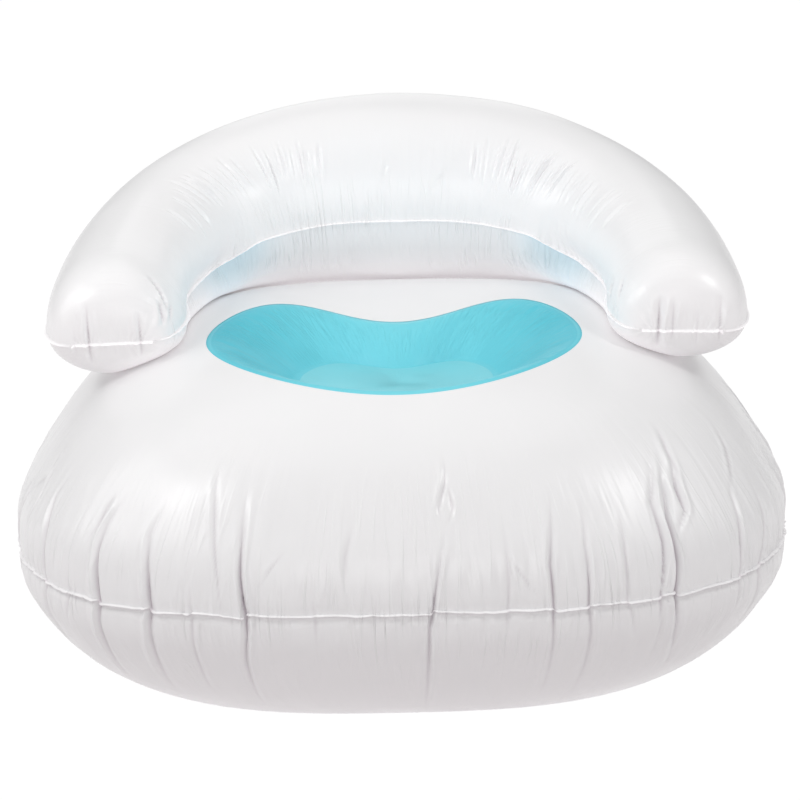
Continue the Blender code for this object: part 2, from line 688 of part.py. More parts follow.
def backrest_valve(frame):
    """Sleeve, sliding stem, flap, plug and leash of the backrest's valve."""
    low = FIT_GAP
    tube = SLEEVE_BORE + SLEEVE_WALL
    top = low + SLEEVE_DISC_WALL
    profile = [(SLEEVE_BORE, -SLEEVE_DEPTH), (tube, -SLEEVE_DEPTH), (tube, low), (SLEEVE_DISC, low)]
    profile += [(SLEEVE_DISC, top), (SLEEVE_BORE, top)]
    turned("backrest_valve_sleeve", profile, valve_plastic(), frame)

    outer = SLEEVE_BORE - FIT_GAP
    rim_low = top + FIT_GAP
    lip = rim_low + STEM_RIM_WALL + 2 * STRAP_WALL
    neck = outer
    shelf = STEM_BORE - STEM_SHELF
    shelf_top = -STEM_SHELF_DEPTH
    shelf_low = shelf_top - STEM_SHELF
    stem = [(STEM_BORE, -SLEEVE_DEPTH), (outer, -SLEEVE_DEPTH), (outer, rim_low), (STEM_RIM, rim_low)]
    stem += [(STEM_RIM, rim_low + STEM_RIM_WALL), (neck, rim_low + STEM_RIM_WALL), (neck, lip)]
    stem += [(STEM_BORE, lip), (STEM_BORE, shelf_top), (shelf, shelf_top), (shelf, shelf_low)]
    stem += [(STEM_BORE, shelf_low)]
    turned("backrest_valve_stem", stem, valve_plastic(), frame)

    check_flap("backrest_valve_flap", STEM_BORE - 2 * FIT_GAP, shelf_low - FIT_GAP, frame)
    head = stopper("backrest_valve_plug", STEM_BORE, lip, frame)[1]
    plug_strap("backrest_plug_strap", neck, rim_low + STEM_RIM_WALL + FIT_GAP, head, frame)


def build():
    for item in list(bpy.data.objects):
        bpy.data.objects.remove(item)
    top_sheet, crown = base_top_sheet()
    base_bottom_sheet()
    seat_well()
    seat_floor_patch()
    tether_anchor_patch()
    tether("tether_left", -TETHER_SPACING)
    tether("tether_middle", 0)
    tether("tether_right", TETHER_SPACING)
    backrest_sheet("backrest_upper_sheet", 1)
    lower_sheet, lower = backrest_sheet("backrest_lower_sheet", -1)

    ring = len(crown) - 2 - BASE_VALVE_STRIP
    corners = np.array([crown[ring, -1], crown[ring, 0], crown[ring - 1, 0], crown[ring - 1, -1]])
    base_frame = seat_frame(corners)
    base_valve(base_frame)
    bore_sheet(top_sheet, SOCKET_BORE + SOCKET_WALL + FIT_GAP, base_frame)

    row = len(ARM_END_ANGLES) + 1 + BACK_STRIPS // 2
    column = 1 + BACK_VALVE_SIDE
    corners = lower[[row, row + 1, row + 1, row], [column, column, column + 1, column + 1]]
    back_frame = seat_frame(corners)
    backrest_valve(back_frame)
    bore_sheet(lower_sheet, SLEEVE_BORE + SLEEVE_WALL + FIT_GAP, back_frame)


build()
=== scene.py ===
"""Inflatable sofa in welded film, laid out as a Blender add-on and run as a script.

Each film part of the solid model gets a fine skin worked out with numpy: the domed base, its
underside, the kidney-shaped seat well, the floor of the well and the two halves of the backrest
tube. All lengths are in metres, with +Z up, +Y to the back and +X to the sitter's left.
"""

import math

import bmesh
import bpy
import numpy as np
from bpy.props import FloatProperty, FloatVectorProperty, IntProperty, PointerProperty
from mathutils import Matrix, Vector


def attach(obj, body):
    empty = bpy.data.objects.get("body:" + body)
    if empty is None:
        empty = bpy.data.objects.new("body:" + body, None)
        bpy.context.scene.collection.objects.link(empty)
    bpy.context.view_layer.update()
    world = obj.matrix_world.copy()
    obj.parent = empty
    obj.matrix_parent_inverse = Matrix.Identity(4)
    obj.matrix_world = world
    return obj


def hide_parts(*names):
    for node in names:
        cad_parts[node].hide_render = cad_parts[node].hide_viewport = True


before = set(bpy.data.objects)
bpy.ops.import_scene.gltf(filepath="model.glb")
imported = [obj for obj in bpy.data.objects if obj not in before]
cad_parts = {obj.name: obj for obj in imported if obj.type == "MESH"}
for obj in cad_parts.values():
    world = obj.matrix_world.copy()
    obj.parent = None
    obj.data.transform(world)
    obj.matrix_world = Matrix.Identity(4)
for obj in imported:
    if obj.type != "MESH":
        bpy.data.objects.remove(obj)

bl_info = {
    "name": "Inflatable sofa",
    "version": (1, 0, 0),
    "blender": (4, 5, 0),
    "location": "3D View > Sidebar > Sofa",
    "description": "Builds an inflatable sofa of welded film with a kidney-shaped seat well",
    "category": "Object",
}

MM = 0.001
SOFA_BODY = "sofa"


def length_property(name, description, millimetres, **more):
    """A length, whose default is given in millimetres."""
    return FloatProperty(name=name, description=description, default=millimetres * MM, unit="LENGTH", **more)


def angle_property(name, description, degrees):
    """An angle, whose default is given in degrees."""
    return FloatProperty(name=name, description=description, default=math.radians(degrees), subtype="ANGLE")


def number_property(name, description, value, **more):
    """A share, a power or another number without a unit."""
    return FloatProperty(name=name, description=description, default=value, **more)


def colour_property(name, description, value):
    """A colour in linear red, green and blue."""
    return FloatVectorProperty(
        name=name, description=description, default=value, subtype="COLOR", min=0, max=1
    )


def count_property(name, description, value, least):
    """A number of grid lines."""
    return IntProperty(name=name, description=description, default=value, min=least)


class FilmProperties(bpy.types.PropertyGroup):
    """Sheet, welds and colours that all the inflated parts share."""

    wall: length_property("Sheet", "Thickness of the film", 0.4, precision=5)
    weld_gap: length_property("Weld gap", "Space between two welded fins", 0.3, precision=5)
    white: colour_property("White film", "Colour of the body", (0.89, 0.885, 0.89))
    cyan: colour_property("Cyan film", "Colour of the seat well", (0.006, 0.50, 0.63))
    pale_cyan: colour_property("Pale cyan film", "Colour of the well's floor", (0.20, 0.70, 0.79))


class BaseProperties(bpy.types.PropertyGroup):
    """The base cushion."""

    half_width: length_property("Half width", "Half the seam's width", 540)
    half_depth: length_property("Half depth", "Half the seam's depth", 518)
    seam_height: length_property("Seam height", "Height of the seam", 229)
    crown_height: length_property("Crown", "Rise of the dome over its seam", 268)
    outline_power: number_property("Squareness", "Power of the seam's superellipse", 3.0)
    plan_power: number_property("Crown plan", "Power of the dome across its plan", 3.49)
    rise_power: number_property("Crown rise", "Power of the dome's rise", 1.55)
    under_power: number_property("Underside", "Power of the underside's flank", 1.9)
    floor_share: number_property("Floor share", "Flat contact as a share of the plan", 0.47)
    fin: length_property("Fin", "Width of the welded fin", 4.2)
    fin_curl: angle_property("Fin curl", "Turn of the fin, upwards above 0", -14)
    seam_drop: length_property("Seam drop", "How far the seam hangs at the corners", 4)
    valve_hole: length_property("Hole", "Radius of the film's hole for the valve", 14.2)
    columns: count_property("Columns", "Grid lines round the base", 1600, 64)


class WellProperties(bpy.types.PropertyGroup):
    """The kidney-shaped seat well."""

    half_width: length_property("Half width", "Half the rim's width", 264.8)
    left_share: number_property("Left share", "Width of the sitter's left half", 0.965)
    centre_y: length_property("Centre", "Place of the widest line", -112.5)
    front_depth: length_property("Front", "Reach to the front of the widest line", 223.3)
    notch_depth: length_property("Notch", "Reach to the back at the hollow side", 104.4)
    lobe_rise: length_property("Lobes", "Further reach to the back at the lobes", 148.2)
    lobe_x: length_property("Lobe place", "Sideways place of the lobes", 233.5)
    depth: length_property("Depth", "Floor below the dome's top", 70)
    sag: length_property("Rim sag", "Drop of the rim at the notch", 22)
    sag_power: number_property("Sag power", "How narrow the sagging stretch is", 6.0)
    floor_share: number_property("Floor share", "Floor as a share of the rim", 0.55)
    floor_y: length_property("Floor centre", "Place of the floor's centre", -180)
    flange: length_property("Flange", "Width of the weld at the rim", 8)
    wall_power: number_property("Wall power", "Power of the wall's fall", 1.5)
    patch_share: number_property("Patch share", "Patch as a share of the floor", 0.93)
    columns: count_property("Columns", "Grid lines round the well", 640, 64)


class BackrestProperties(bpy.types.PropertyGroup):
    """The horseshoe tube."""

    half_span: length_property("Half span", "Half the centreline's width", 411)
    reach: length_property("Reach", "Depth of the centreline in its plane", 457)
    offset: length_property("Offset", "Start of the centreline", 19)
    plane_height: length_property("Plane height", "Height of the centreline's plane", 315)
    tilt: angle_property("Tilt", "Tilt of that plane", 37)
    sweep: angle_property("Sweep", "Half the turn", 87.2)
    outline_power: number_property("Squareness", "Power of the centreline", 2.635)
    arm_forward: length_property("Arm reach", "Shift of the arm ends to the front", 222)
    arm_rise: length_property("Arm rise", "Lift of the arm ends", 140)
    arm_inset_share: number_property("Arm inset", "How far the arm ends turn in", 0.055)
    radius: length_property("Radius", "Radius at the middle", 150)
    arm_radius: length_property("Arm radius", "Radius at the arm ends", 95)
    under_share: number_property("Under", "Height share of the arm ends' underside", 0.70)
    left_under_share: number_property("Left under", "The same on the sitter's left", 0.61)
    taper_power: number_property("Taper", "Power of the taper", 1.18)
    end_length: length_property("End length", "Length of an arm's end", 105)
    end_power: number_property("End power", "Power of an arm's end", 2.6)
    end_corner_share: number_property("End corner", "Rounding of an arm's end", 0.46)
    seam_twist: angle_property("Seam twist", "Turn of the seams at the middle", -27.5)
    seam_dip: angle_property("Seam dip", "Turn of the inner seam down beside the sitter", 14)
    seam_pinch: number_property("Seam pinch", "How far the inner seam is drawn in there", 0.27)
    dip_start: number_property("Dip start", "Share of the sweep where the dip starts", 0.50)
    dip_end: number_property("Dip end", "Share of the sweep where the dip ends", 0.97)
    fin: length_property("Fin", "Width of the welded fin", 4)
    fin_droop: angle_property("Fin droop", "Turn of the fin down at the arm ends", 35)
    valve_hole: length_property("Hole", "Radius of the film's hole for the valve", 9.3)
    softness: length_property("Contact", "Softness of the contact", 3)
    clearance: length_property("Clearance", "Gap to the base", 0.6)
    rows: count_property("Rows", "Cross-sections along the tube", 700, 64)
    end_rows: count_property("End rows", "Cross-sections round each end", 36, 8)
    sides: count_property("Sides", "Steps over each half", 116, 16)


class StageProperties(bpy.types.PropertyGroup):
    """The camera."""

    distance: length_property("Distance", "Camera to target", 3000)
    elevation: angle_property("Elevation", "Camera above the horizon", 15.75)
    roll: angle_property("Roll", "Camera roll", -1.31)
    lens: number_property("Lens", "Focal length in millimetres", 93.15)
    sensor: number_property("Sensor", "Sensor width in millimetres", 36.0)
    shift: number_property("Shift", "Sideways shift of the frame", 0.0015, precision=4)
    target: FloatVectorProperty(
        name="Target", description="Point looked at", default=(0, -13 * MM, 360 * MM), subtype="XYZ"
    )


class SofaProperties(bpy.types.PropertyGroup):
    """All the sofa's settings."""

    film: PointerProperty(type=FilmProperties)
    base: PointerProperty(type=BaseProperties)
    well: PointerProperty(type=WellProperties)
    backrest: PointerProperty(type=BackrestProperties)
    stage: PointerProperty(type=StageProperties)


# Meshes


def band(rows, columns, closed):
    """Corner indices of the squares between the neighbouring rows of a grid."""
    row = np.arange(rows - 1)[:, None] * columns
    column = np.arange(columns if closed else columns - 1)[None, :]
    after = (column + 1) % columns
    corners = np.stack([row + column, row + after, row + columns + after, row + columns + column], axis=-1)
    return corners.reshape(-1, 4)


def shell_faces(rows, columns, closed):
    """Corners of a shell: outer grid, then inner grid, and the walls that join their free edges."""
    outer = band(rows, columns, closed)
    count = rows * columns
    index = np.arange(count).reshape(rows, columns)
    if closed:
        rims = [np.append(index[0], index[0, 0])[::-1], np.append(index[-1], index[-1, 0])]
    else:
        rims = [np.concatenate([index[0], index[1:, -1], index[-1, -2::-1], index[-2::-1, 0]])[::-1]]
    walls = [np.stack([rim[:-1], rim[1:], rim[1:] + count, rim[:-1] + count], axis=-1) for rim in rims]
    return np.concatenate([outer, outer[:, ::-1] + count] + walls)


def signed_volume(points, quads):
    """Six times the volume inside a closed mesh of four-cornered faces, negative when it is inside out."""
    a, b, c, d = (points[quads[:, i]] for i in range(4))
    first = np.einsum("ij,ij->i", a, np.cross(b, c)).sum()
    return first + np.einsum("ij,ij->i", a, np.cross(c, d)).sum()


def placed(made):
    """An object, linked into the scene."""
    bpy.context.scene.collection.objects.link(made)
    return made


def mesh_object(name, points, quads, triangles=None, attributes=None):
    """A smooth-shaded object from arrays of points and faces, turned to face outwards."""
    triangles = np.zeros((0, 3), dtype=int) if triangles is None else triangles
    volume = signed_volume(points, quads)
    if len(triangles):
        a, b, c = (points[triangles[:, i]] for i in range(3))
        volume += np.einsum("ij,ij->i", a, np.cross(b, c)).sum()
    if volume < 0:
        quads, triangles = quads[:, ::-1], triangles[:, ::-1]
    mesh = bpy.data.meshes.new(name)
    loops = np.concatenate([quads.ravel(), triangles.ravel()]).astype(np.int32)
    starts = np.concatenate([np.arange(len(quads)) * 4, len(quads) * 4 + np.arange(len(triangles)) * 3])
    mesh.vertices.add(len(points))
    mesh.vertices.foreach_set("co", np.ascontiguousarray(points, dtype=np.float32).ravel())
    mesh.loops.add(len(loops))
    mesh.loops.foreach_set("vertex_index", loops)
    mesh.polygons.add(len(starts))
    mesh.polygons.foreach_set("loop_start", starts.astype(np.int32))
    mesh.update(calc_edges=True)
    for label, values in (attributes or {}).items():
        vector = values.ndim == 2
        layer = mesh.attributes.new(label, "FLOAT_VECTOR" if vector else "FLOAT", "POINT")
        layer.data.foreach_set("vector" if vector else "value", values.astype(np.float32).ravel())
    mesh.shade_smooth()
    mesh.set_sharp_from_angle(angle=math.radians(50))
    if mesh.validate(verbose=False):
        raise RuntimeError(f"{name} has faces that Blender had to mend")
    return placed(bpy.data.objects.new(name, mesh))


def mesh_points(piece):
    """An object's vertices as an array."""
    points = np.empty(len(piece.data.vertices) * 3)
    piece.data.vertices.foreach_get("co", points)
    return points.reshape(-1, 3)


def grid_normals(points, closed, towards):
    """Unit normals of a grid, on the side that the given field of directions lies on."""
    if closed:
        along = np.roll(points, -1, axis=1) - np.roll(points, 1, axis=1)
    else:
        along = np.gradient(points, axis=1)
    normals = np.cross(along, np.gradient(points, axis=0))
    normals /= np.maximum(np.linalg.norm(normals, axis=2), 1e-12)[:, :, None]
    return normals * np.sign((normals * towards).sum(axis=(0, 1, 2)) or 1.0)


def bell(offset, width, power=2):
    """A bump of height 1: e to the minus |offset / width| to the power."""
    return np.exp(-(np.abs(offset / width) ** power))


def eased(share):
    """Smooth step: 3 times the square less twice the cube."""
    return share * share * (3 - 2 * share)


def fade_between(distance, low, high, ease):
    """1 inside a stretch and 0 outside it, eased over the given length at either end."""
    rise = np.clip((distance - low) / ease, 0, 1)
    fall = np.clip((high - distance) / ease, 0, 1)
    return eased(rise) * eased(fall)


def lattice_noise(u, v, cells_u, cells_v, seed):
    """Smooth noise from -1 to 1: random values on a lattice, eased between its corners.

    u runs from 0 to 1 round a closed loop, and v from 0 to 1 across it.
    """
    values = np.random.default_rng(seed).uniform(-1, 1, (cells_u, cells_v + 2))
    a, b = (u % 1.0) * cells_u, np.clip(v, 0, 1) * cells_v
    i, j = np.floor(a).astype(int), np.floor(b).astype(int)
    s, t = eased(a - i), eased(b - j)
    low = values[i % cells_u, j] * (1 - s) + values[(i + 1) % cells_u, j] * s
    high = values[i % cells_u, j + 1] * (1 - s) + values[(i + 1) % cells_u, j + 1] * s
    return low * (1 - t) + high * t


def crease(offset, width, lean=0.0):
    """Cross-section of a pleat: a pinched valley with a soft roll on each side.

    The valley is an exponential and the rolls are bells, higher on the side that the pleat leans to.
    """
    away = np.sqrt(offset**2 + (0.12 * width) ** 2) / width
    roll = 0.42 * (1 + lean * np.tanh(offset / width))
    return roll * bell(away - 2.3, 1.2) - np.exp(-1.15 * away)


def ridged(noise, sharpness):
    """Narrow lines, from 0 to 1, where smooth noise passes through 0."""
    return (1 - np.clip(np.abs(noise), 0, 1)) ** sharpness


def running_length(points, axis):
    """Length along a grid's rows or columns from their start."""
    steps = np.linalg.norm(np.diff(points, axis=axis), axis=2)
    start = np.zeros_like(np.take(steps, [0], axis=axis))
    return np.concatenate([start, np.cumsum(steps, axis=axis)], axis=axis)


def loop_offset(at, place, whole):
    """Signed way from a place on a closed loop, round the shorter side."""
    return (at - place + whole / 2) % whole - whole / 2


def unit(vectors):
    """Vectors divided by their lengths."""
    return vectors / np.linalg.norm(vectors, axis=1)[:, None]


def row_at(plan, height):
    """A grid's row from its plan and its height, which may be one number."""
    return np.column_stack([plan, np.broadcast_to(height, len(plan))])


# Base cushion


def superellipse_ratio(x, y, base):
    """|x / half width|^n + |y / half depth|^n, which is 1 on the seam."""
    n = base.outline_power
    return np.abs(x / base.half_width) ** n + np.abs(y / base.half_depth) ** n


def seam_plan(turn, base):
    """The seam from above, a superellipse, for turns from the front towards the sitter's left."""
    reach = superellipse_ratio(np.sin(turn), np.cos(turn), base) ** (-1 / base.outline_power)
    return np.column_stack([reach * np.sin(turn), -reach * np.cos(turn)])


def seam_lift(film):
    """Height of a sheet's outer face over the middle of the weld."""
    return film.weld_gap / 2 + film.wall


def dome_height(x, y, base, film):
    """Height of the dome: seam + crown * (1 - r^k)^(1/m), where r is the superellipse's radius."""
    ratio = superellipse_ratio(x, y, base)
    inside = np.clip(1 - ratio ** (base.plan_power / base.outline_power), 0, 1)
    return base.seam_height + seam_lift(film) + base.crown_height * inside ** (1 / base.rise_power)


def kidney_plan(turn, well):
    """The well's rim from above: an ellipse whose back side is drawn in at the middle."""
    x = well.half_width * np.sin(turn) * (1 - (1 - well.left_share) * np.clip(np.sin(turn), 0, 1))
    lobe = np.sin(np.clip(math.pi * x / (2 * well.lobe_x), -math.pi / 2, math.pi / 2)) ** 2
    depth = np.where(np.cos(turn) < 0, well.notch_depth + well.lobe_rise * lobe, well.front_depth)
    return np.column_stack([x, well.centre_y - depth * np.cos(turn)])


def sheet_height(plan, turns, settings, sag_share=1.0):
    """Height of the top sheet near the well: the dome, less a share of the rim's sag.

    The sag is most at the notch, and goes by a power of the cosine.
    """
    well = settings.well
    sag = well.sag * np.clip(-np.cos(turns), 0, 1) ** well.sag_power
    return dome_height(plan[:, 0], plan[:, 1], settings.base, settings.film) - sag * sag_share


# Pleats and wrinkles of the base that the front shows. Each has its depth and width in millimetres
# and its course from the lowest to the highest point: turn from the front in degrees, and
# millimetres above the seam.
FRONT_PLEATS = (
    (2.5, 3.0, ((-66, -20), (-66, 0), (-67, 60), (-68, 110))),
    (2.5, 3.0, ((-60, 30), (-60, 90), (-61, 150))),
    (4.5, 3.5, ((-54, -140), (-52, 0), (-53, 50), (-55, 105), (-54, 165))),
    (3.0, 3.0, ((-48, -70), (-46.5, 0), (-46.5, 40))),
    (7.5, 4.0, ((-43.5, -190), (-41.5, -50), (-41, 0), (-42, 60), (-42, 95), (-40.5, 150))),
    (3.0, 3.0, ((-44.5, 55), (-43.5, 90), (-43, 145))),
    (7.5, 4.0, ((-36, -200), (-34, -50), (-33.5, 0), (-34, 40), (-35, 90), (-34.5, 145))),
    (4.5, 3.0, ((-29.4, -170), (-28, -20), (-28, 0), (-28.5, 50))),
    (2.6, 2.0, ((-24.5, -40), (-24, 0), (-25, 50), (-27, 125), (-29.5, 215))),
    (9.5, 3.2, ((-23.4, -215), (-22, -75), (-21, -25), (-21, 0), (-22, 50), (-22.5, 95), (-23.5, 170))),
    (2.0, 2.5, ((-19.5, 30), (-18, 57), (-16, 85))),
    (2.0, 3.0, ((-12, -60), (-12, 0), (-12.5, 30))),
    (1.6, 3.5, ((-8, 20), (-8, 70), (-7, 120))),
    (7.5, 2.6, ((3.4, -235), (3.4, -75), (3.5, -20), (4, 0), (4.9, 50), (5.8, 85), (6.3, 112))),
    (2.6, 1.5, ((6.3, 102), (5.5, 128), (7.0, 165), (7.4, 205))),
    (2.6, 1.5, ((6.4, 102), (7.7, 128), (7.2, 168))),
    (1.8, 2.0, ((19, 4), (17, 30), (14, 75))),
    (1.8, 3.5, ((14, -70), (14, -5), (14.5, 60), (14.5, 120))),
    (6.0, 3.2, ((21.3, -190), (20, -25), (20, 0), (20, 55), (21, 95), (22.5, 165))),
    (5.0, 3.2, ((26.4, -200), (25, -40), (24.5, 0), (25, 75), (26.5, 150))),
    (2.8, 3.0, ((31.5, -75), (30, -10), (29.5, 0), (30, 60), (31, 130))),
    (5.0, 3.0, ((35.4, -150), (34, -10), (34, 0), (35.5, 65), (36, 120), (39, 170), (41, 215))),
    (10.0, 4.2, ((40, -165), (37, -60), (36.3, 0), (37, 40), (37.5, 95), (39.5, 150), (42, 195))),
    (5.5, 3.2, ((37.3, 60), (38.5, 80), (40.5, 100), (41, 133), (43, 185))),
    (2.8, 2.6, ((42, 130), (43, 184), (45, 235))),
    (4.5, 3.2, ((46, -110), (47, 0), (48, 50), (49.5, 100), (52, 140))),
    (3.2, 2.8, ((48, 90), (52, 121), (55.5, 157), (58, 200))),
    (4.5, 3.2, ((51, -120), (52, 0), (54.5, 58), (56, 120))),
    (2.5, 3.0, ((59, -30), (59, 0), (60, 60), (61, 130))),
)


def rear_pleats():
    """Pleats of the sides and the back, in the form and with the spacing of those at the front."""
    rng = np.random.default_rng(5)
    pleats = []
    for turn in np.arange(68.0, 294.0, 7.0):
        turn += rng.uniform(-2.4, 2.4)
        depth, width = 2.2 + 4.6 * rng.random() ** 2, rng.uniform(2.8, 4.2)
        up, down, lean = rng.uniform(60, 190), rng.uniform(40, 160), rng.uniform(-2, 2)
        up *= 0.6 if 110 < turn < 250 else 1
        course = ((turn - lean / 2, -down), (turn, 0), (turn + lean / 3, up / 2), (turn + lean, up))
        pleats.append((depth, width, course))
        if depth > 4:
            side = rng.choice((-1, 1)) * rng.uniform(2, 4)
            branch = ((turn + lean / 3, up / 2), (turn + side, 0.8 * up), (turn + side, 1.2 * up))
            pleats.append((depth / 2, width, branch))
    return pleats


def base_turns(columns, pleats):
    """Turns of the grid's columns, drawn together where a pleat crosses the seam."""
    fine = np.linspace(0, 2 * math.pi, 7201)
    density = np.ones(len(fine))
    for depth, _, course in pleats:
        middle = math.radians(sum(point[0] for point in course) / len(course))
        away = loop_offset(fine, middle, 2 * math.pi)
        density += 0.5 * min(depth, 8) * bell(away, math.radians(1.3))
    filled = np.concatenate([[0], np.cumsum((density[1:] + density[:-1]) / 2)])
    return np.interp(np.arange(columns) / columns, filled / filled[-1], fine)


# Where the dome's grid stops following the plan and goes down by the crown, as a share of the crown
SHOULDER_SHARE = 0.76

# Rows of the base's grid from the rim to the shoulder, down to the seam and along the underside
TOP_ROWS = 26
CROWN_ROWS = 46
UNDER_ROWS = 54


def base_form(turns, settings):
    """Grid of the whole base from the kidney's rim over the seam to the floor's edge.

    Rows go from the rim out to the dome's shoulder in the plan, then down by shares of the crown,
    then along the underside. Returns the grid and the seam's row.
    """
    base, lift = settings.base, seam_lift(settings.film)
    seam = seam_plan(turns, base)
    rim = kidney_plan(turns, settings.well)
    shoulder = seam * (1 - SHOULDER_SHARE**base.rise_power) ** (1 / base.plan_power)
    rows = []
    for share in np.linspace(0, 1, TOP_ROWS + 1)[:-1] ** 1.25:
        plan = rim + (shoulder - rim) * share
        rows.append(row_at(plan, sheet_height(plan, turns, settings, (1 - share) ** 2)))
    for share in SHOULDER_SHARE * (1 - np.linspace(0, 1, CROWN_ROWS) ** 0.85):
        scale = (1 - share**base.rise_power) ** (1 / base.plan_power)
        rows.append(row_at(seam * scale, base.seam_height + lift + base.crown_height * share))
    seam_row = len(rows) - 1
    for share in np.sin(np.linspace(0, math.pi / 2, UNDER_ROWS)) ** 1.5:
        flank = (1 - share**base.under_power) ** (1 / base.under_power)
        scale = base.floor_share + (1 - base.floor_share) * flank
        rows.append(row_at(seam * scale, (base.seam_height - lift) * (1 - share)))
    return np.array(rows), seam_row


def seam_measures(grid, seam_row):
    """Way down each column, way above the seam along it, and way round the seam with its end."""
    drop = running_length(grid, 0)
    loop = np.append(grid[seam_row], grid[seam_row, :1], axis=0)
    around = np.concatenate([[0], np.cumsum(np.linalg.norm(np.diff(loop, axis=0), axis=1))])
    return drop, drop[seam_row] - drop, around


def seam_place(degrees, turns, around):
    """Way round the seam to a turn in degrees."""
    return np.interp(np.radians(degrees) % (2 * math.pi), np.append(turns, 2 * math.pi), around)


# Swells and grooves that run round the base: height, place above the seam and half width, all in
# millimetres. Those of the second set lie at the sitter's two sides.
SEAM_BANDS = ((5.0, 55, 42), (3.0, -42, 30), (-1.8, 0, 9), (-2.2, -7, 4))
SIDE_BANDS = ((4.0, 45, 28), (-5.0, 0, 32))


def band_height(above, bands):
    """Sum of bells across the seam."""
    return sum(height * MM * bell(above - place * MM, width * MM) for height, place, width in bands)


def base_puckers(u, above):
    """Fine relief near the seam: two scales of noise, less narrow lines that come in patches."""
    across = np.abs(above) / 0.3
    puckers = lattice_noise(u, across, 210, 3, 11) + 0.5 * lattice_noise(u, across, 380, 4, 12)
    patches = np.clip(0.55 + lattice_noise(u, across, 40, 2, 14), 0, 1)
    puckers -= 1.6 * patches * ridged(lattice_noise(u, across, 150, 2, 15), 5)
    puckers -= 1.2 * patches * ridged(lattice_noise(u, across, 230, 3, 16), 4)
    return puckers * np.exp(-np.abs(above) / (85 * MM))


def base_relief(grid, seam_row, turns, pleats):
    """Height of the base's pleats and ripples along its outward normal.

    Each pleat is the crease's section across its course, in a shallow dent, times a fade at both
    ends, and weaker below the seam. Between them the film has puckers that die away from the seam,
    and broad soft waves. Swells and grooves run along the seam. The second result is painted shade,
    from 0 to 1, along the bottoms of the pleats and in a thin line just under the seam.
    """
    drop, above, around = seam_measures(grid, seam_row)
    whole = around[-1]
    narrowing = np.linalg.norm(grid[:, :, :2], axis=2) / np.linalg.norm(grid[seam_row, :, :2], axis=1)
    below = np.clip(-above / (30 * MM), 0, 1)
    hold = 0.55 + 0.45 * np.clip(np.abs(above) / (18 * MM), 0, 1)
    widening = 1 + 0.5 * np.clip(np.abs(above) / (150 * MM), 0, 1)
    relief, painted_shade = np.zeros((2, *grid.shape[:2]))
    for number, (depth, width, course) in enumerate(pleats):
        bends, heights = np.array(course).T
        place = seam_place(np.interp(above / MM, heights, bends), turns, around)
        ease = (0.45 * (heights[-1] - heights[0]) + 10) * MM
        fade = fade_between(above, heights[0] * MM, heights[-1] * MM, ease)
        wide = (0.5 * width + 1) * MM * widening
        offset = loop_offset(around[:-1], place, whole) * narrowing
        section = crease(offset, wide, (-0.6, 0.6)[number % 2]) - 0.22 * bell(offset, 7.5 * wide)
        relief += (1.1 - 0.55 * below) * depth * MM * fade * hold * section
        marked = (1 - 0.45 * below) * min(1, depth / 8) ** 0.7 * fade
        # Painted shade along the bottom of each pleat
        painted_shade = np.maximum(painted_shade, marked * bell(offset, 0.65 * wide))
    u = np.broadcast_to(around[:-1] / whole, above.shape)
    waves = lattice_noise(u, 0.5 - above, 26, 7, 13)
    beside = np.abs(np.sin(turns)) ** 6
    bands = band_height(above, SEAM_BANDS) + beside * band_height(above, SIDE_BANDS)
    fine = 1.5 * MM * base_puckers(u, above) + 0.6 * MM * (waves - 1) + bands
    # Painted shade in a thin line just under the seam
    painted_shade = np.maximum(painted_shade, 0.45 * bell(above + 3 * MM, 1.8 * MM))
    from_rim = np.clip((drop - 12 * MM) / (60 * MM), 0, 1)
    on_floor = np.clip(grid[:, :, 2] / (50 * MM), 0, 1)
    return (relief + fine) * from_rim * on_floor, painted_shade * on_floor


def seam_wander(grid, seam_row, turns, pleats, base):
    """Shift of the grid up or down near the seam.

    The seam hangs lower towards the corners, by a squared sine, and takes a small step at each
    pleat that crosses it.
    """
    _, above, around = seam_measures(grid, seam_row)
    shift = -base.seam_drop * (0.25 + np.sin(turns) ** 2)
    for number, (depth, _, course) in enumerate(pleats):
        bends, heights = np.array(course).T
        if heights[0] < 0 < heights[-1]:
            place = seam_place(np.interp(0, heights, bends), turns, around)
            away = loop_offset(around[:-1], place, around[-1])
            step = np.tanh(away / (2 * MM)) * np.exp(-np.abs(away) / (24 * MM))
            shift += (-1, 1)[number % 2] * 0.40 * depth * MM * step
    shift += 1.0 * MM * lattice_noise(turns / (2 * math.pi), np.zeros(len(turns)), 120, 1, 22)
    return shift * bell(above, 60 * MM)


def base_fin(seam, turns, base):
    """The base fin's free edge: out from the seam, turned down by the curl, both a little uneven."""
    u, start = turns / (2 * math.pi), np.zeros(len(turns))
    curl = base.fin_curl * (1 + 0.6 * lattice_noise(u, start, 110, 1, 21))
    width = base.fin * (1 + 0.22 * lattice_noise(u, start, 170, 1, 23))
    out = unit(seam[:, :2])
    return seam + np.column_stack([out * (width * np.cos(curl))[:, None], width * np.sin(curl)])


def valve_hole(valve, radius):
    """A valve's place and direction, from its flap to its plug, and the radius of the film's hole."""
    flap, plug = (mesh_points(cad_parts[f"{valve}_{part}"]).mean(axis=0) for part in ("flap", "plug"))
    return flap, (plug - flap) / np.linalg.norm(plug - flap), radius


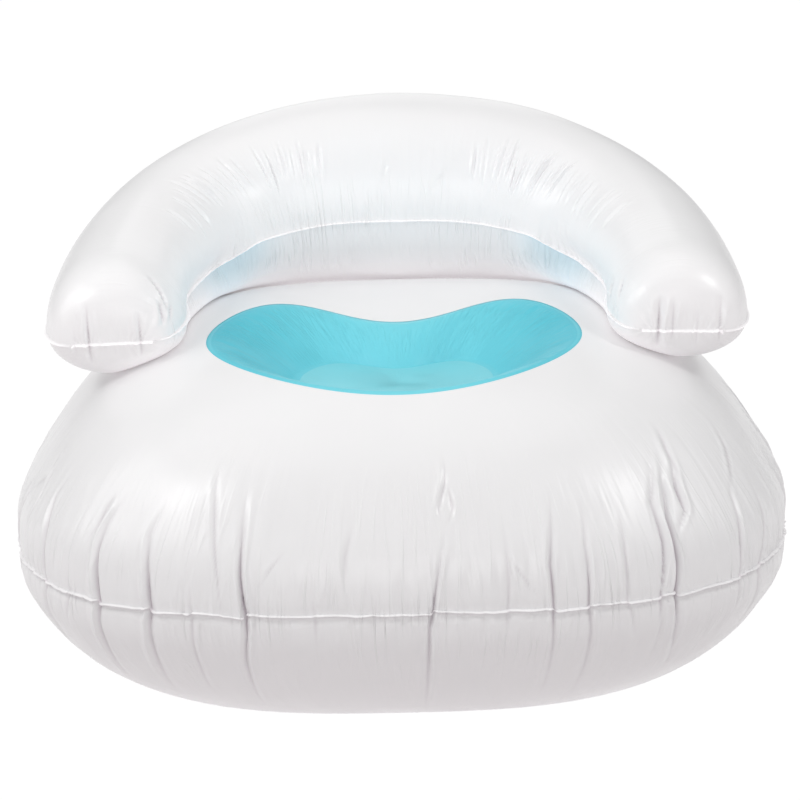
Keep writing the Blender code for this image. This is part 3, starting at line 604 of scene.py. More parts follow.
def with_hole(points, faces, count, hole):
    """A shell's points and faces with a round hole for a valve, and the wall between its two sheets.

    Faces that reach inside the radius go, and the rim's points move straight in to the radius.
    """
    place, axis, radius = hole
    away = points[:count] - place
    along = away @ axis
    away -= along[:, None] * axis
    across = np.linalg.norm(away, axis=1)
    inside = np.tile((across < radius) & (np.abs(along) < 4 * radius), 2)
    gone = inside[faces].any(axis=1)
    kept, cut = faces[~gone], faces[gone]
    edges = (kept * len(points) + np.roll(kept, -1, axis=1)).ravel()
    facing = (np.roll(cut, -1, axis=1) * len(points) + cut).ravel()
    start, end = np.divmod(edges[np.isin(edges, facing)], len(points))
    outer = (start < count) & (end < count)
    start, end = start[outer], end[outer]
    shift = (radius / across[start] - 1)[:, None] * away[start]
    points = points.copy()
    points[start] += shift
    points[start + count] += shift
    wall = np.stack([end, start, start + count, end + count], axis=-1)
    return points, np.concatenate([kept, wall])


def with_pole(faces, rows, columns):
    """A shell's faces without the wall of its last row, and the two fans that close it instead."""
    count = rows * columns
    ring = (rows - 1) * columns + np.arange(columns)
    after = (rows - 1) * columns + (np.arange(columns) + 1) % columns
    top = np.stack([ring, after, np.full(columns, 2 * count)], axis=-1)
    bottom = np.stack([after + count, ring + count, np.full(columns, 2 * count + 1)], axis=-1)
    return faces[:-columns], np.concatenate([top, bottom])


def two_walled(name, outer, normals, film, closed, attributes, pole=None, hole=None):
    """A thin closed shell: the outer grid, the same grid set in by the sheet, and their walls.

    A pole is the two middle points that close a ring's last row, and a hole lets a valve through.
    """
    rows, columns = outer.shape[:2]
    count = rows * columns
    inner = outer - film.wall * normals
    points = np.concatenate([outer.reshape(-1, 3), inner.reshape(-1, 3)])
    faces = shell_faces(rows, columns, closed)
    triangles = None
    doubled = {}
    for label, values in attributes.items():
        doubled[label] = np.concatenate([values.reshape(count, -1)] * 2).squeeze()
    if pole is not None:
        faces, triangles = with_pole(faces, rows, columns)
        points = np.concatenate([points, pole])
        for label, values in doubled.items():
            doubled[label] = np.concatenate([values, np.repeat(values[count - 1 : count], 2, axis=0)])
    if hole is not None:
        points, faces = with_hole(points, faces, count, hole)
        used = np.zeros(len(points), dtype=bool)
        used[faces] = True
        faces = (np.cumsum(used) - 1)[faces]
        points = points[used]
        doubled = {label: values[used] for label, values in doubled.items()}
    return mesh_object(name, points, faces, triangles, doubled)


def dressed(piece, nodes, material, body=SOFA_BODY):
    """Gives a finished piece its material and its body, and hides the solids that it stands for."""
    piece.data.materials.clear()
    piece.data.materials.append(material)
    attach(piece, body)
    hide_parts(*nodes)
    return piece


# Materials

# Colour and strength of the painted glow, an emission that lights crevices, seams and fins, the
# painted shade of its pleats as shares of its own colour, and the roughness of its coat
PAINTED_GLOW_COLOUR = (1.0, 0.93, 0.96)
PAINTED_GLOW_STRENGTH = 0.30
FOLD_SHADE = (0.68, 0.62, 0.66)
COAT_ROUGHNESS = 0.2


def set_inputs(tree, node, inputs):
    """Sets a node's inputs, by name or number: a socket is linked in, and any other value is set."""
    for label, value in inputs.items():
        if isinstance(value, bpy.types.NodeSocket):
            tree.links.new(value, node.inputs[label])
        else:
            node.inputs[label].default_value = value


def add_node(tree, kind, inputs=None, **options):
    """A shader node with its options and its inputs set."""
    node = tree.nodes.new(kind)
    for label, value in options.items():
        setattr(node, label, value)
    set_inputs(tree, node, inputs or {})
    return node


def noise(tree, place, scale, detail, roughness=0.5):
    """Noise over the given coordinates."""
    inputs = {"Vector": place, "Scale": scale, "Detail": detail, "Roughness": roughness}
    return add_node(tree, "ShaderNodeTexNoise", inputs).outputs["Fac"]


def arithmetic(tree, operation, *values):
    """The result of an operation on numbers or sockets."""
    return add_node(tree, "ShaderNodeMath", dict(enumerate(values)), operation=operation).outputs[0]


def ranged(tree, value, start, end, low, high, **options):
    """A value whose stretch from start to end becomes the one from low to high."""
    inputs = {"Value": value, "From Min": start, "From Max": end, "To Min": low, "To Max": high}
    return add_node(tree, "ShaderNodeMapRange", inputs, **options).outputs["Result"]


def blended(tree, factor, low, high):
    """A colour that goes from low to high by the factor."""
    ends = {"Factor": factor}
    for label, colour in (("A", low), ("B", high)):
        ends[label] = colour if isinstance(colour, bpy.types.NodeSocket) else (*colour, 1.0)
    return add_node(tree, "ShaderNodeMix", ends, data_type="RGBA").outputs["Result"]


def film_grain_group():
    """Heights of a film's fine wrinkles.

    Long wrinkles run across the seams, by the flow attribute, and thin lines among them, where a
    second noise passes through its middle. Soft clouds lie all over, by Object coordinates.
    """
    found = bpy.data.node_groups.get("film_grain")
    if found:
        return found
    tree = bpy.data.node_groups.new("film_grain", "ShaderNodeTree")
    for label, kind in (("Place", "Vector"), ("Flow", "Vector"), ("Near seam", "Float")):
        tree.interface.new_socket(label, in_out="INPUT", socket_type=f"NodeSocket{kind}")
    for label in ("Height", "Cloud"):
        tree.interface.new_socket(label, in_out="OUTPUT", socket_type="NodeSocketFloat")
    source = add_node(tree, "NodeGroupInput").outputs
    long_wrinkles = noise(tree, source["Flow"], 52.0, 3.0, 0.55)
    cloud = noise(tree, source["Place"], 14.0, 1.0)
    fine = noise(tree, source["Flow"], 74.0, 1.0)
    away = arithmetic(tree, "ABSOLUTE", arithmetic(tree, "SUBTRACT", fine, 0.5))
    patch = ranged(tree, cloud, 0.34, 0.56, 0.0, 1.0)
    line = ranged(tree, away, 0.0, 0.10, patch, 0.0, interpolation_type="SMOOTHSTEP")
    both = arithmetic(tree, "ADD", long_wrinkles, line)
    masked = arithmetic(tree, "MULTIPLY", both, source["Near seam"])
    total = arithmetic(tree, "MULTIPLY_ADD", cloud, 0.30, masked)
    add_node(tree, "NodeGroupOutput", {"Height": total, "Cloud": cloud})
    return tree


def film_material(name, colour, pale, painted_light_and_weld_colour, roughness, bump, specular=0.5, coat=0.0):
    """Satin film: colour and gloss drift a little over the sheet, and fine wrinkles catch the light.

    The stain attribute mixes in the third colour: on the white film painted cyan light from the well,
    on the cyan film a painted sheen across the middle and the weld's paler tone. The fold attribute
    paints shade into the pleats. The contact attribute adds a painted glow, an emission that lights
    crevices where sheets touch, seams, fins and ends. A coat gives small glints.
    """
    made = bpy.data.materials.new(name)
    made.use_nodes = True
    tree = made.node_tree
    given = {}
    for label in ("flow", "near", "painted_light_and_weld_tone", "painted_shade", "contact"):
        output = "Vector" if label == "flow" else "Fac"
        given[label] = add_node(tree, "ShaderNodeAttribute", attribute_name=label).outputs[output]
    place = add_node(tree, "ShaderNodeTexCoord").outputs["Object"]
    sources = {"Place": place, "Flow": given["flow"], "Near seam": given["near"]}
    grain = add_node(tree, "ShaderNodeGroup", sources, node_tree=film_grain_group())
    cloud = grain.outputs["Cloud"]
    # The third colour is painted light, and on the well also the weld's paler tone, by the stain attribute
    toned = blended(tree, given["painted_light_and_weld_tone"], blended(tree, cloud, colour, pale), painted_light_and_weld_colour)
    dark = tuple(share * part for share, part in zip(FOLD_SHADE, colour))
    relief = add_node(tree, "ShaderNodeBump", {"Distance": bump, "Height": grain.outputs["Height"]})
    finish = {
        # Painted shade in the pleats, by the fold attribute
        "Base Color": blended(tree, given["painted_shade"], toned, dark),
        "Roughness": ranged(tree, cloud, 0.3, 0.7, roughness - 0.04, roughness + 0.05),
        "Metallic": 0.0,
        "Specular IOR Level": specular,
        "Coat Weight": coat,
        "Coat Roughness": COAT_ROUGHNESS,
        # Painted glow, by the contact attribute
        "Emission Color": blended(tree, given["contact"], (0, 0, 0), PAINTED_GLOW_COLOUR),
        "Emission Strength": PAINTED_GLOW_STRENGTH,
        "Normal": relief.outputs["Normal"],
    }
    set_inputs(tree, tree.nodes["Principled BSDF"], finish)
    return made


def moulded_material(name, colour, roughness):
    """Moulded plastic or rubber with a fine spark texture."""
    made = bpy.data.materials.new(name)
    made.use_nodes = True
    tree = made.node_tree
    spark = noise(tree, add_node(tree, "ShaderNodeTexCoord").outputs["Object"], 1400.0, 2.0, 0.6)
    relief = add_node(tree, "ShaderNodeBump", {"Distance": 0.02 * MM, "Height": spark})
    finish = {
        "Base Color": blended(tree, spark, tuple(0.94 * part for part in colour), colour),
        "Roughness": ranged(tree, spark, 0.0, 1.0, roughness - 0.05, roughness + 0.05),
        "Metallic": 0.0,
        "Normal": relief.outputs["Normal"],
    }
    set_inputs(tree, tree.nodes["Principled BSDF"], finish)
    return made


def shared_material(name, make, *values, **named):
    """A material that several pieces share, made by the first that asks for it."""
    return bpy.data.materials.get(name) or make(name, *values, **named)


def paler(colour, share):
    """A colour moved towards white by a share of what is left."""
    return tuple(part + (1 - part) * share for part in colour)


def white_film(film):
    """The body's white film, with a thin gloss that gives the small glints."""
    colour = tuple(film.white)
    pale = tuple(min(1.0, part * 1.03) for part in colour)
    # The third colour is painted cyan light, bounced from the well onto the tube's lower sheet
    colours = colour, pale, (0.52, 0.73, 0.82)
    finish = {"roughness": 0.335, "bump": 1.05 * MM, "coat": 0.22}
    return shared_material("white_vinyl", film_material, *colours, **finish)


def cyan_film(film):
    """The well's cyan film, paler along its weld, with a painted sheen across its middle."""
    colour = tuple(film.cyan)
    # The third colour gives the painted sheen across the middle and the weld's paler tone
    colours = colour, paler(colour, 0.05), (0.185, 0.71, 0.82)
    finish = {"roughness": 0.37, "bump": 0.5 * MM, "specular": 0.35}
    return shared_material("cyan_vinyl", film_material, *colours, **finish)


def pale_cyan_film(film):
    """The paler film of the patch on the well's floor."""
    colour = tuple(film.pale_cyan)
    pale = paler(colour, 0.06)
    finish = {"roughness": 0.37, "bump": 0.4 * MM}
    return shared_material("pale_cyan_vinyl", film_material, colour, pale, pale, **finish)


# Base and seat well

# Painted glow on the edge of the base's fin, as a share of the painted glow at a contact
BASE_FIN_GLOW = 0.35

# Radius round the base valve inside which the film has no relief
CALM_RADIUS = 50 * MM


def seam_flow(turns, distance):
    """Coordinates that follow the base's seam: a circle for the way round, and the distance across it."""
    ring = np.broadcast_to(turns[None, :], distance.shape)
    return np.stack([0.54 * np.sin(ring), -0.54 * np.cos(ring), 0.10 * distance], axis=-1)


def base_surface(turns, pleats, hole, settings):
    """The base's grid with its relief, the seam's row and the marks that its material reads."""
    base = settings.base
    grid, seam_row = base_form(turns, settings)
    distance = -seam_measures(grid, seam_row)[1]
    normals = grid_normals(grid, True, grid - np.array([0, 0, base.seam_height]))
    relief, painted_shade = base_relief(grid, seam_row, turns, pleats)
    relief *= 1 - bell(np.linalg.norm(grid - hole[0], axis=2), CALM_RADIUS, 4)
    grid = grid + normals * relief[:, :, None]
    grid[:, :, 2] += seam_wander(grid, seam_row, turns, pleats, base)
    marks = {
        "flow": seam_flow(turns, distance),
        "near": np.exp(-np.abs(distance) / (90 * MM)),
        # Painted shade of the pleats and under the seam
        "painted_shade": painted_shade,
    }
    return grid, seam_row, marks


class SOFA_OT_base(bpy.types.Operator):
    """Make the base's top sheet and underside, with their pleats and welded fin"""

    bl_idname = "sofa.base"
    bl_label = "Base cushion"

    def execute(self, context):
        settings = context.scene.sofa
        base, film = settings.base, settings.film
        pleats = list(FRONT_PLEATS) + rear_pleats()
        turns = base_turns(base.columns, pleats)
        hole = valve_hole("base_valve", base.valve_hole)
        grid, seam_row, marks = base_surface(turns, pleats, hole, settings)
        middle = np.array([0, 0, base.seam_height])

        top = grid[: seam_row + 1]
        edge = base_fin(top[-1], turns, base)
        top = np.concatenate([top, (top[-1] * 0.5 + edge * 0.5)[None], edge[None]])
        rows = np.clip(np.arange(len(top)), 0, seam_row)
        # Painted glow: none on the sheet, some on the fin's edge
        glow = np.zeros(top.shape[:2])
        glow[-2:] = BASE_FIN_GLOW
        attributes = {label: values[rows] for label, values in marks.items()} | {"contact": glow}
        up = grid_normals(top, True, top - middle)
        piece = two_walled("base_top_film", top, up, film, True, attributes, hole=hole)
        dressed(piece, ["base_top_sheet"], white_film(film))

        edge = edge - np.array([0, 0, 2 * seam_lift(film)])
        bottom = grid[seam_row + 1 :]
        bottom = np.concatenate([edge[None], (bottom[0] * 0.5 + edge * 0.5)[None], bottom])
        rows = np.clip(np.arange(len(bottom)) + seam_row - 1, seam_row + 1, None)
        # Painted glow low on the underside, stronger towards the floor
        glow = np.exp(-bottom[:, :, 2] / (50 * MM))
        attributes = {label: values[rows] for label, values in marks.items()} | {"contact": glow}
        out = grid_normals(bottom, True, bottom - middle)
        out[-1] = (0, 0, -1)
        pole = np.array([[0, 0, 0], [0, 0, film.wall]])
        piece = two_walled("base_underside_film", bottom, out, film, True, attributes, pole)
        dressed(piece, ["base_bottom_sheet"], white_film(film))
        return {"FINISHED"}


# Rows of the well's grid over the weld's inner margin, down the wall and over the floor
MARGIN_ROWS = 4
WALL_ROWS = 48
FLOOR_ROWS = 14

# Row of the well's grid that lies under the rim, after the two outside it
RIM_ROW = 2

# Half the width of the painted sheen across the middle of the well
PAINTED_SHEEN_MIDDLE = 205 * MM

# Thickness of the patch on the well's floor
PATCH_THICKNESS = 0.5 * MM


def well_floor(settings):
    """Height of the well's floor, below the dome's top."""
    return float(dome_height(0.0, 0.0, settings.base, settings.film)) - settings.well.depth


def well_foot(turns, well):
    """The floor's middle and its edge from above: the rim drawn in to the floor's share."""
    middle = np.array([0, well.floor_y])
    return middle, middle + (kidney_plan(turns, well) - middle) * well.floor_share


def well_form(turns, settings):
    """Grid of the well from outside the rim to just short of the floor's middle.

    The flange and a margin of its width follow the dome from below, the wall falls by a power of
    the share of its way, and the floor is level. The second result is a mask of the wall's rows:
    the sine of a half turn by the root of the way down, 1 a quarter of the way and 0 at its ends.
    """
    base, well, film = settings.base, settings.well, settings.film
    rim = kidney_plan(turns, well)
    out = unit(seam_plan(turns, base) - rim)
    middle, foot = well_foot(turns, well)
    inward = unit(middle - rim)
    drop = film.wall + film.weld_gap
    rows = []
    for step in (well.flange, well.flange / 2, 0.0):
        plan = rim + out * step
        rows.append(row_at(plan, sheet_height(plan, turns, settings) - drop))
    margin = rim + inward * well.flange
    rim_level, level = rows[RIM_ROW][:, 2], sheet_height(margin, turns, settings) - drop
    for share in np.linspace(0, 1, MARGIN_ROWS + 1)[1:]:
        plan = rim + inward * well.flange * share
        rows.append(row_at(plan, rim_level * (1 - share) + level * share))
    first_wall = len(rows)
    bottom = well_floor(settings)
    for share in np.linspace(0, 1, WALL_ROWS + 1)[1:]:
        fall = share**well.wall_power
        rows.append(row_at(margin + (foot - margin) * share, level * (1 - fall) + bottom * fall))
    last_wall = len(rows)
    for share in np.linspace(1, 0, FLOOR_ROWS + 1)[1:-1]:
        rows.append(row_at(middle + (foot - middle) * share, bottom))
    on_wall = np.clip((np.arange(len(rows)) - first_wall) / (last_wall - first_wall), 0, 1)
    return np.array(rows), np.sin(math.pi * np.sqrt(on_wall))[:, None]


def well_ripple(shape, turns):
    """Ripples of the well's wall: two scales of noise, less two scales of narrow lines."""
    u = np.broadcast_to(turns / (2 * math.pi), shape)
    v = np.broadcast_to(np.linspace(0, 1, shape[0])[:, None], shape)
    ripple = lattice_noise(u, v, 46, 3, 31) + 0.6 * lattice_noise(u, v, 130, 4, 32)
    lines = 0.8 * ridged(lattice_noise(u, v, 80, 2, 33), 6)
    lines += 0.6 * ridged(lattice_noise(u, v, 150, 3, 34), 6)
    return ripple - lines


class SOFA_OT_seat_well(bpy.types.Operator):
    """Make the cyan seat well and the paler patch on its floor"""

    bl_idname = "sofa.seat_well"
    bl_label = "Seat well"

    def execute(self, context):
        settings = context.scene.sofa
        well, film = settings.well, settings.film
        turns = np.linspace(0, 2 * math.pi, well.columns, endpoint=False)
        upright = np.array([0, 0, 1.0])
        bottom = well_floor(settings)

        grid, mask = well_form(turns, settings)
        normals = grid_normals(grid, True, np.broadcast_to(upright, grid.shape))
        ripple = 0.7 * MM * mask * well_ripple(grid.shape[:2], turns)
        grid = grid + normals * ripple[:, :, None]
        distance = running_length(grid, 0)
        weld_mark = 0.5 * fade_between(distance - distance[RIM_ROW], 1 * MM, well.flange, 2 * MM)
        attributes = {
            "flow": seam_flow(turns, distance * 3),
            "near": np.broadcast_to(0.4 + 0.6 * mask, grid.shape[:2]),
            # Painted sheen across the middle, and the weld's paler tone along the rim
            "painted_light_and_weld_tone": np.maximum(bell(grid[:, :, 0], PAINTED_SHEEN_MIDDLE, 3), weld_mark),
        }
        pole = np.array([[0, well.floor_y, bottom], [0, well.floor_y, bottom - film.wall]])
        piece = two_walled("seat_well_film", grid, normals, film, True, attributes, pole)
        dressed(piece, ["seat_well"], cyan_film(film))

        middle, foot = well_foot(turns, well)
        top = bottom + film.weld_gap + PATCH_THICKNESS
        grid = []
        for share in np.concatenate([[1.0], np.linspace(0.985, 0, 24)[:-1]]):
            grid.append(row_at(middle + (foot - middle) * well.patch_share * share, top))
        grid = np.array(grid)
        attributes = {
            "flow": seam_flow(turns, running_length(grid, 0) * 3),
            "near": np.full(grid.shape[:2], 0.5),
        }
        up = np.broadcast_to(upright, grid.shape)
        pole = np.array([[0, well.floor_y, top], [0, well.floor_y, top - film.wall]])
        piece = two_walled("seat_floor_film", grid, up, film, True, attributes, pole)
        dressed(piece, ["seat_floor_patch"], pale_cyan_film(film))
        return {"FINISHED"}


# Backrest


def tube_centreline(back):
    """Samples of the centreline: half a superellipse in a tilted plane, its ends lifted by a cubic.

    Returns the share of the sweep, the points and the arc length.
    """
    share = np.linspace(-1, 1, 2401)
    sine, cosine = np.sin(share * back.sweep), np.cos(share * back.sweep)
    cubic, power = np.abs(share) ** 3, 2 / back.outline_power
    x = back.half_span * np.sign(sine) * np.abs(sine) ** power * (1 - back.arm_inset_share * cubic)
    y = back.offset + back.reach * np.abs(cosine) ** power
    depth = y * math.cos(back.tilt) - back.arm_forward * cubic
    height = back.plane_height + y * math.sin(back.tilt) + back.arm_rise * cubic
    points = np.column_stack([x, depth, height])
    steps = np.linalg.norm(np.diff(points, axis=0), axis=1)
    return share, points, np.concatenate([[0], np.cumsum(steps)])


def read_along(values, at, lengths):
    """Each column of values, read at the given arc lengths."""
    return np.column_stack([np.interp(at, lengths, column) for column in values.T])


def tube_places(total, back):
    """Places of the cross-sections along the tube, and how far each is round an end, as an angle.

    Sections round an end follow a sine, and those beside the arms stand closer together.
    """
    ends = np.linspace(math.pi / 2, 0, back.end_rows, endpoint=False)
    near = back.end_length * (1 - np.sin(ends))
    fine = np.linspace(back.end_length, total - back.end_length, 2001)
    filled = np.cumsum(1 + 1.4 * fade_between(np.abs(fine - total / 2), 0.10, 0.58, 0.05))
    body = np.interp(np.linspace(filled[0], filled[-1], back.rows), filled, fine)
    at = np.concatenate([near, body, total - near[::-1]])
    return at, np.concatenate([ends, np.zeros(back.rows), ends[::-1]])


def tube_sections(back):
    """Centre, directions, half sizes, bend and place of each cross-section.

    The half sizes are the width's and the upper and the lower half's height, which is flatter at the
    arm ends. The bend is 1 beside the sitter, where the inner seam is drawn in, and 0 elsewhere.
    """
    share, points, lengths = tube_centreline(back)
    at, angle = tube_places(lengths[-1], back)
    centre = read_along(points, at, lengths)
    forward = unit(read_along(np.gradient(points, lengths, axis=0), at, lengths))
    plane_up = np.array([0, -math.sin(back.tilt), math.cos(back.tilt)])
    outward = unit(np.cross(plane_up, forward))
    upward = unit(np.cross(forward, outward))
    where = np.interp(at, lengths, share)
    radius = back.arm_radius + (back.radius - back.arm_radius) * (1 - np.abs(where) ** back.taper_power)
    beside = fade_between(np.abs(where), back.dip_start, back.dip_end, 0.16)
    twist = (back.seam_twist * (1 - where**2))[:, None]
    turned_out = outward * np.cos(twist) + upward * np.sin(twist)
    turned_up = upward * np.cos(twist) - outward * np.sin(twist)
    rounded = (1 - np.sin(angle) ** back.end_power) ** (1 / back.end_power)
    width = radius * (1 - back.end_corner_share * (1 - rounded))
    height = radius * rounded
    under = np.where(where > 0, back.left_under_share, back.under_share)
    lower = height * (1 - (1 - under) * np.abs(where) ** 3)
    sizes = (width, height, lower)
    return centre, forward, turned_out, turned_up, sizes, beside, at - lengths[-1] / 2


def dome_gap(points, base, film):
    """Height of points over the dome, and a whole metre beyond its seam."""
    x, y, z = np.moveaxis(points, -1, 0)
    return np.where(superellipse_ratio(x, y, base) < 1, z - dome_height(x, y, base, film), 1.0)


def contact_glow(gap):
    """Strength of the painted glow near a contact, which lightens the crevice: little on it, most just above,
    then less.
    """
    away = np.clip(gap, 0, None)
    return np.exp(-away / (25 * MM)) * (1 - 0.75 * np.exp(-away / (2.5 * MM)))


def settled(points, base, back, film):
    """Points eased up to just above the dome, by a soft maximum of their height over it."""
    above = dome_gap(points, base, film) - back.clearance
    raised = points.copy()
    raised[..., 2] += (np.sqrt(above**2 + 4 * back.softness**2) - above) / 2
    return raised


# Groups of wrinkles that run round the tube's section: sheet (1 upper, -1 lower), first and last
# place along the tube from its middle, how many, reach from the inner seam where they begin and
# end, lean, depth and width, all in millimetres
WRINKLE_GROUPS = (
    (1, -530, -480, 3, 40, 120, 14, 2.9, 3.6),
    (1, -470, -300, 10, 66, 158, 0, 4.2, 3.0),
    (1, -250, -134, 8, 58, 150, 8, 3.5, 2.8),
    (1, -25, -25, 1, 34, 122, 24, 2.6, 2.6),
    (1, 58, 58, 1, 42, 106, 34, 2.7, 2.6),
    (1, 148, 360, 13, 52, 142, -4, 3.7, 2.8),
    (1, 385, 560, 7, 42, 140, -30, 3.2, 3.6),
    (-1, -420, -250, 6, 20, 75, 6, 2.6, 3.0),
    (-1, -206, -80, 5, 36, 105, 4, 2.4, 2.8),
    (-1, 60, 165, 5, 45, 115, 8, 2.4, 2.8),
    (-1, 250, 420, 9, 24, 95, 18, 2.7, 2.8),
)

# Pleats that cross the seam of an arm's end: end (-1 the viewer's left), then in millimetres the
# place across the end, positive on the outer side, reach up and down, depth and width
END_PLEATS = (
    (-1, 31, 54, 34, 7.2, 2.8),
    (-1, -39, 42, 26, 6.0, 2.8),
    (-1, 50, 26, 24, 1.8, 3.0),
    (1, -33, 50, 34, 9.5, 4.2),
    (1, -14, 40, 12, 4.3, 3.0),
    (1, 50, 52, 26, 4.6, 3.0),
    (1, 19, 26, 24, 2.6, 3.0),
)

# Creases of the upper sheet over the arms: place and reach from the inner seam at both ends, depth
# and width in millimetres
ARM_CREASES = (
    (-750, 100, -786, 22, 5.0, 2.8),
    (-779, 58, -800, 12, 5.6, 2.8),
    (-765, 44, -792, 14, 3.1, 2.4),
    (720, 46, 746, 6, 4.2, 3.0),
    (748, 62, 772, 22, 2.8, 3.0),
)


def stroke(place, reach, first, last, width, lean=0.0):
    """Section of a crease along a straight line, faded at both ends, over two surface coordinates."""
    course = np.subtract(last, first)
    length = np.hypot(*course)
    along = ((place - first[0]) * course[0] + (reach - first[1]) * course[1]) / length
    offset = ((place - first[0]) * course[1] - (reach - first[1]) * course[0]) / length
    return fade_between(along, 0, length, 0.45 * length) * crease(offset, width, lean)


def wrinkle_groups(side, place, from_inner):
    """Wrinkles round the section, in groups that are evenly spaced but for a random shift."""
    relief = np.zeros(from_inner.shape)
    rng = np.random.default_rng(8)
    for sheet, first, last, count, low, high, lean, depth, wide in WRINKLE_GROUPS:
        pitch = (last - first) / max(count - 1, 1)
        for centre in np.linspace(first, last, count):
            begin = (centre + pitch * rng.uniform(-0.3, 0.3), low + rng.uniform(-10, 14))
            finish = (begin[0] + lean + rng.uniform(-7, 7), high + rng.uniform(-24, 12))
            deep, tip = depth * rng.uniform(0.5, 1.4), rng.uniform(-0.7, 0.7)
            if sheet == side:
                width = wide * rng.uniform(0.6, 1.0)
                relief += deep * stroke(place, from_inner, begin, finish, width, tip)
    return relief


def tube_relief(points, side, width, at, across_share, shift):
    """Height of the tube's wrinkles along its outward normal, and painted shade at the bottoms of its pleats.

    Pleats start at the seam round an arm's end and fade along the tube. Puckers die away from the
    seams. The shift is how far the inner seam dips, because the wrinkles' reach is counted from
    where it would be. Lengths inside are in millimetres.
    """
    columns = running_length(points, 1)
    from_seam = (columns[:, -1:] - columns) / MM
    from_inner = from_seam - side * shift[:, None] / MM
    place = at[:, None] / MM * np.ones_like(from_inner)
    relief = wrinkle_groups(side, place, from_inner)
    painted_shade = np.zeros(relief.shape)
    creases = ARM_CREASES if side > 0 else ()
    for first_place, first_reach, last_place, last_reach, depth, wide in creases:
        ends = (first_place, first_reach), (last_place, last_reach)
        crossing = stroke(place, from_inner, *ends, 0.75 * wide, 0.5)
        relief += depth * crossing
        # Painted shade along the bottom of the crease
        painted_shade = np.maximum(painted_shade, np.clip(-crossing, 0, 1) ** 2)
    rows = running_length(points, 0) / MM
    for end, across, up, down, depth, wide in END_PLEATS:
        from_end = rows if end < 0 else rows[-1:] - rows
        share = np.clip(from_end / (up if side > 0 else down), 0, 1)
        offset = across_share * width[:, None] / MM - across
        fade = (1 - share) ** 0.8 * (0.55 + 0.45 * np.clip(from_end / 12, 0, 1))
        relief += depth * fade * crease(offset, 0.75 * wide * (1 + 0.8 * share), 0.5)
        # Painted shade along the bottom of the pleat
        painted_shade = np.maximum(painted_shade, min(1, depth / 7) * fade * bell(offset, 0.4 * wide))
    u = (place / 1900) % 1.0
    from_ends = np.minimum(rows, rows[-1:] - rows)
    near = np.exp(-from_seam / 45) + 0.4 * np.exp(-columns / MM / 50)
    puckers = lattice_noise(u, from_seam / 300, 190, 3, 41 + side)
    puckers += 0.5 * lattice_noise(u, from_seam / 300, 330, 4, 43 + side)
    turned = lattice_noise(across_share * 0.4 + 0.5, from_ends / 200, 60, 2, 47 + side)
    crown = np.sin(math.pi * from_inner * MM / columns[:, -1:])
    relief += 0.6 * near * puckers + 0.8 * np.exp(-from_ends / 26) * turned
    relief += crown * lattice_noise(u, from_inner / 500, 20, 4, 45)
    return relief * MM, painted_shade


def tube_half(side, sections, settings):
    """Grid of one half of the tube from its outer to its inner seam, and its pleats' painted shade.

    Each section is half an ellipse, drawn in beside the inner seam and turned with its dip. It is
    eased up off the dome, moved out by its wrinkles and kept on its side of the weld.
    """
    base, back, film = settings.base, settings.backrest, settings.film
    centre, _, outward, upward, (width, upper, lower), bend, at = sections
    share = np.linspace(0, 1, back.sides + 1)
    dip = back.seam_dip * bend
    angle = share * (side * math.pi + dip[:, None])
    drawn = 1 - back.seam_pinch * bend[:, None] * bell((1 - share) * math.pi, 0.36)
    across = width[:, None] * np.cos(angle) * drawn
    rise = np.where(np.sin(angle) > 0, upper[:, None], lower[:, None]) * np.sin(angle) * drawn
    body = centre[:, None] + outward[:, None] * across[:, :, None] + upward[:, None] * rise[:, :, None]
    body = settled(body, base, back, film)
    normals = grid_normals(body, False, body - centre[:, None])
    relief, painted_shade = tube_relief(body, side, width, at, np.cos(angle), dip * width)
    body = body + normals * relief[:, :, None]
    lean = (share * dip[:, None])[:, :, None]
    apart = upward[:, None] * np.cos(lean) - outward[:, None] * np.sin(lean)
    return body + side * apart * seam_lift(film), painted_shade


def with_fins(body, sections, back):
    """The half with a welded fin all round: the outer one and those at the ends turn down."""
    _, forward, outward, upward, _, bend, at = sections
    dip = (back.seam_dip * bend)[:, None]
    inward = -(outward * np.cos(dip) + upward * np.sin(dip))
    hang = (back.fin_droop * np.abs(at / at[-1]) ** 6)[:, None]
    outer_fin = body[:, :1] + (back.fin * (outward * np.cos(hang) - upward * np.sin(hang)))[:, None]
    inner_fin = body[:, -1:] + inward[:, None] * back.fin
    sheet = np.concatenate([outer_fin, body, inner_fin], axis=1)
    reach = back.fin * np.cos(back.fin_droop)
    droop = back.fin * np.sin(back.fin_droop) * upward
    first = sheet[0] - forward[0] * reach - droop[0]
    last = sheet[-1] + forward[-1] * reach - droop[-1]
    return np.concatenate([first[None], sheet, last[None]])


# Painted glow on the tube's film along its inner seam, at its ends and on its fins, as a share
# of the painted glow at a contact
SEAM_GLOW = 0.38
END_GLOW = 0.30
FIN_GLOW = 0.8


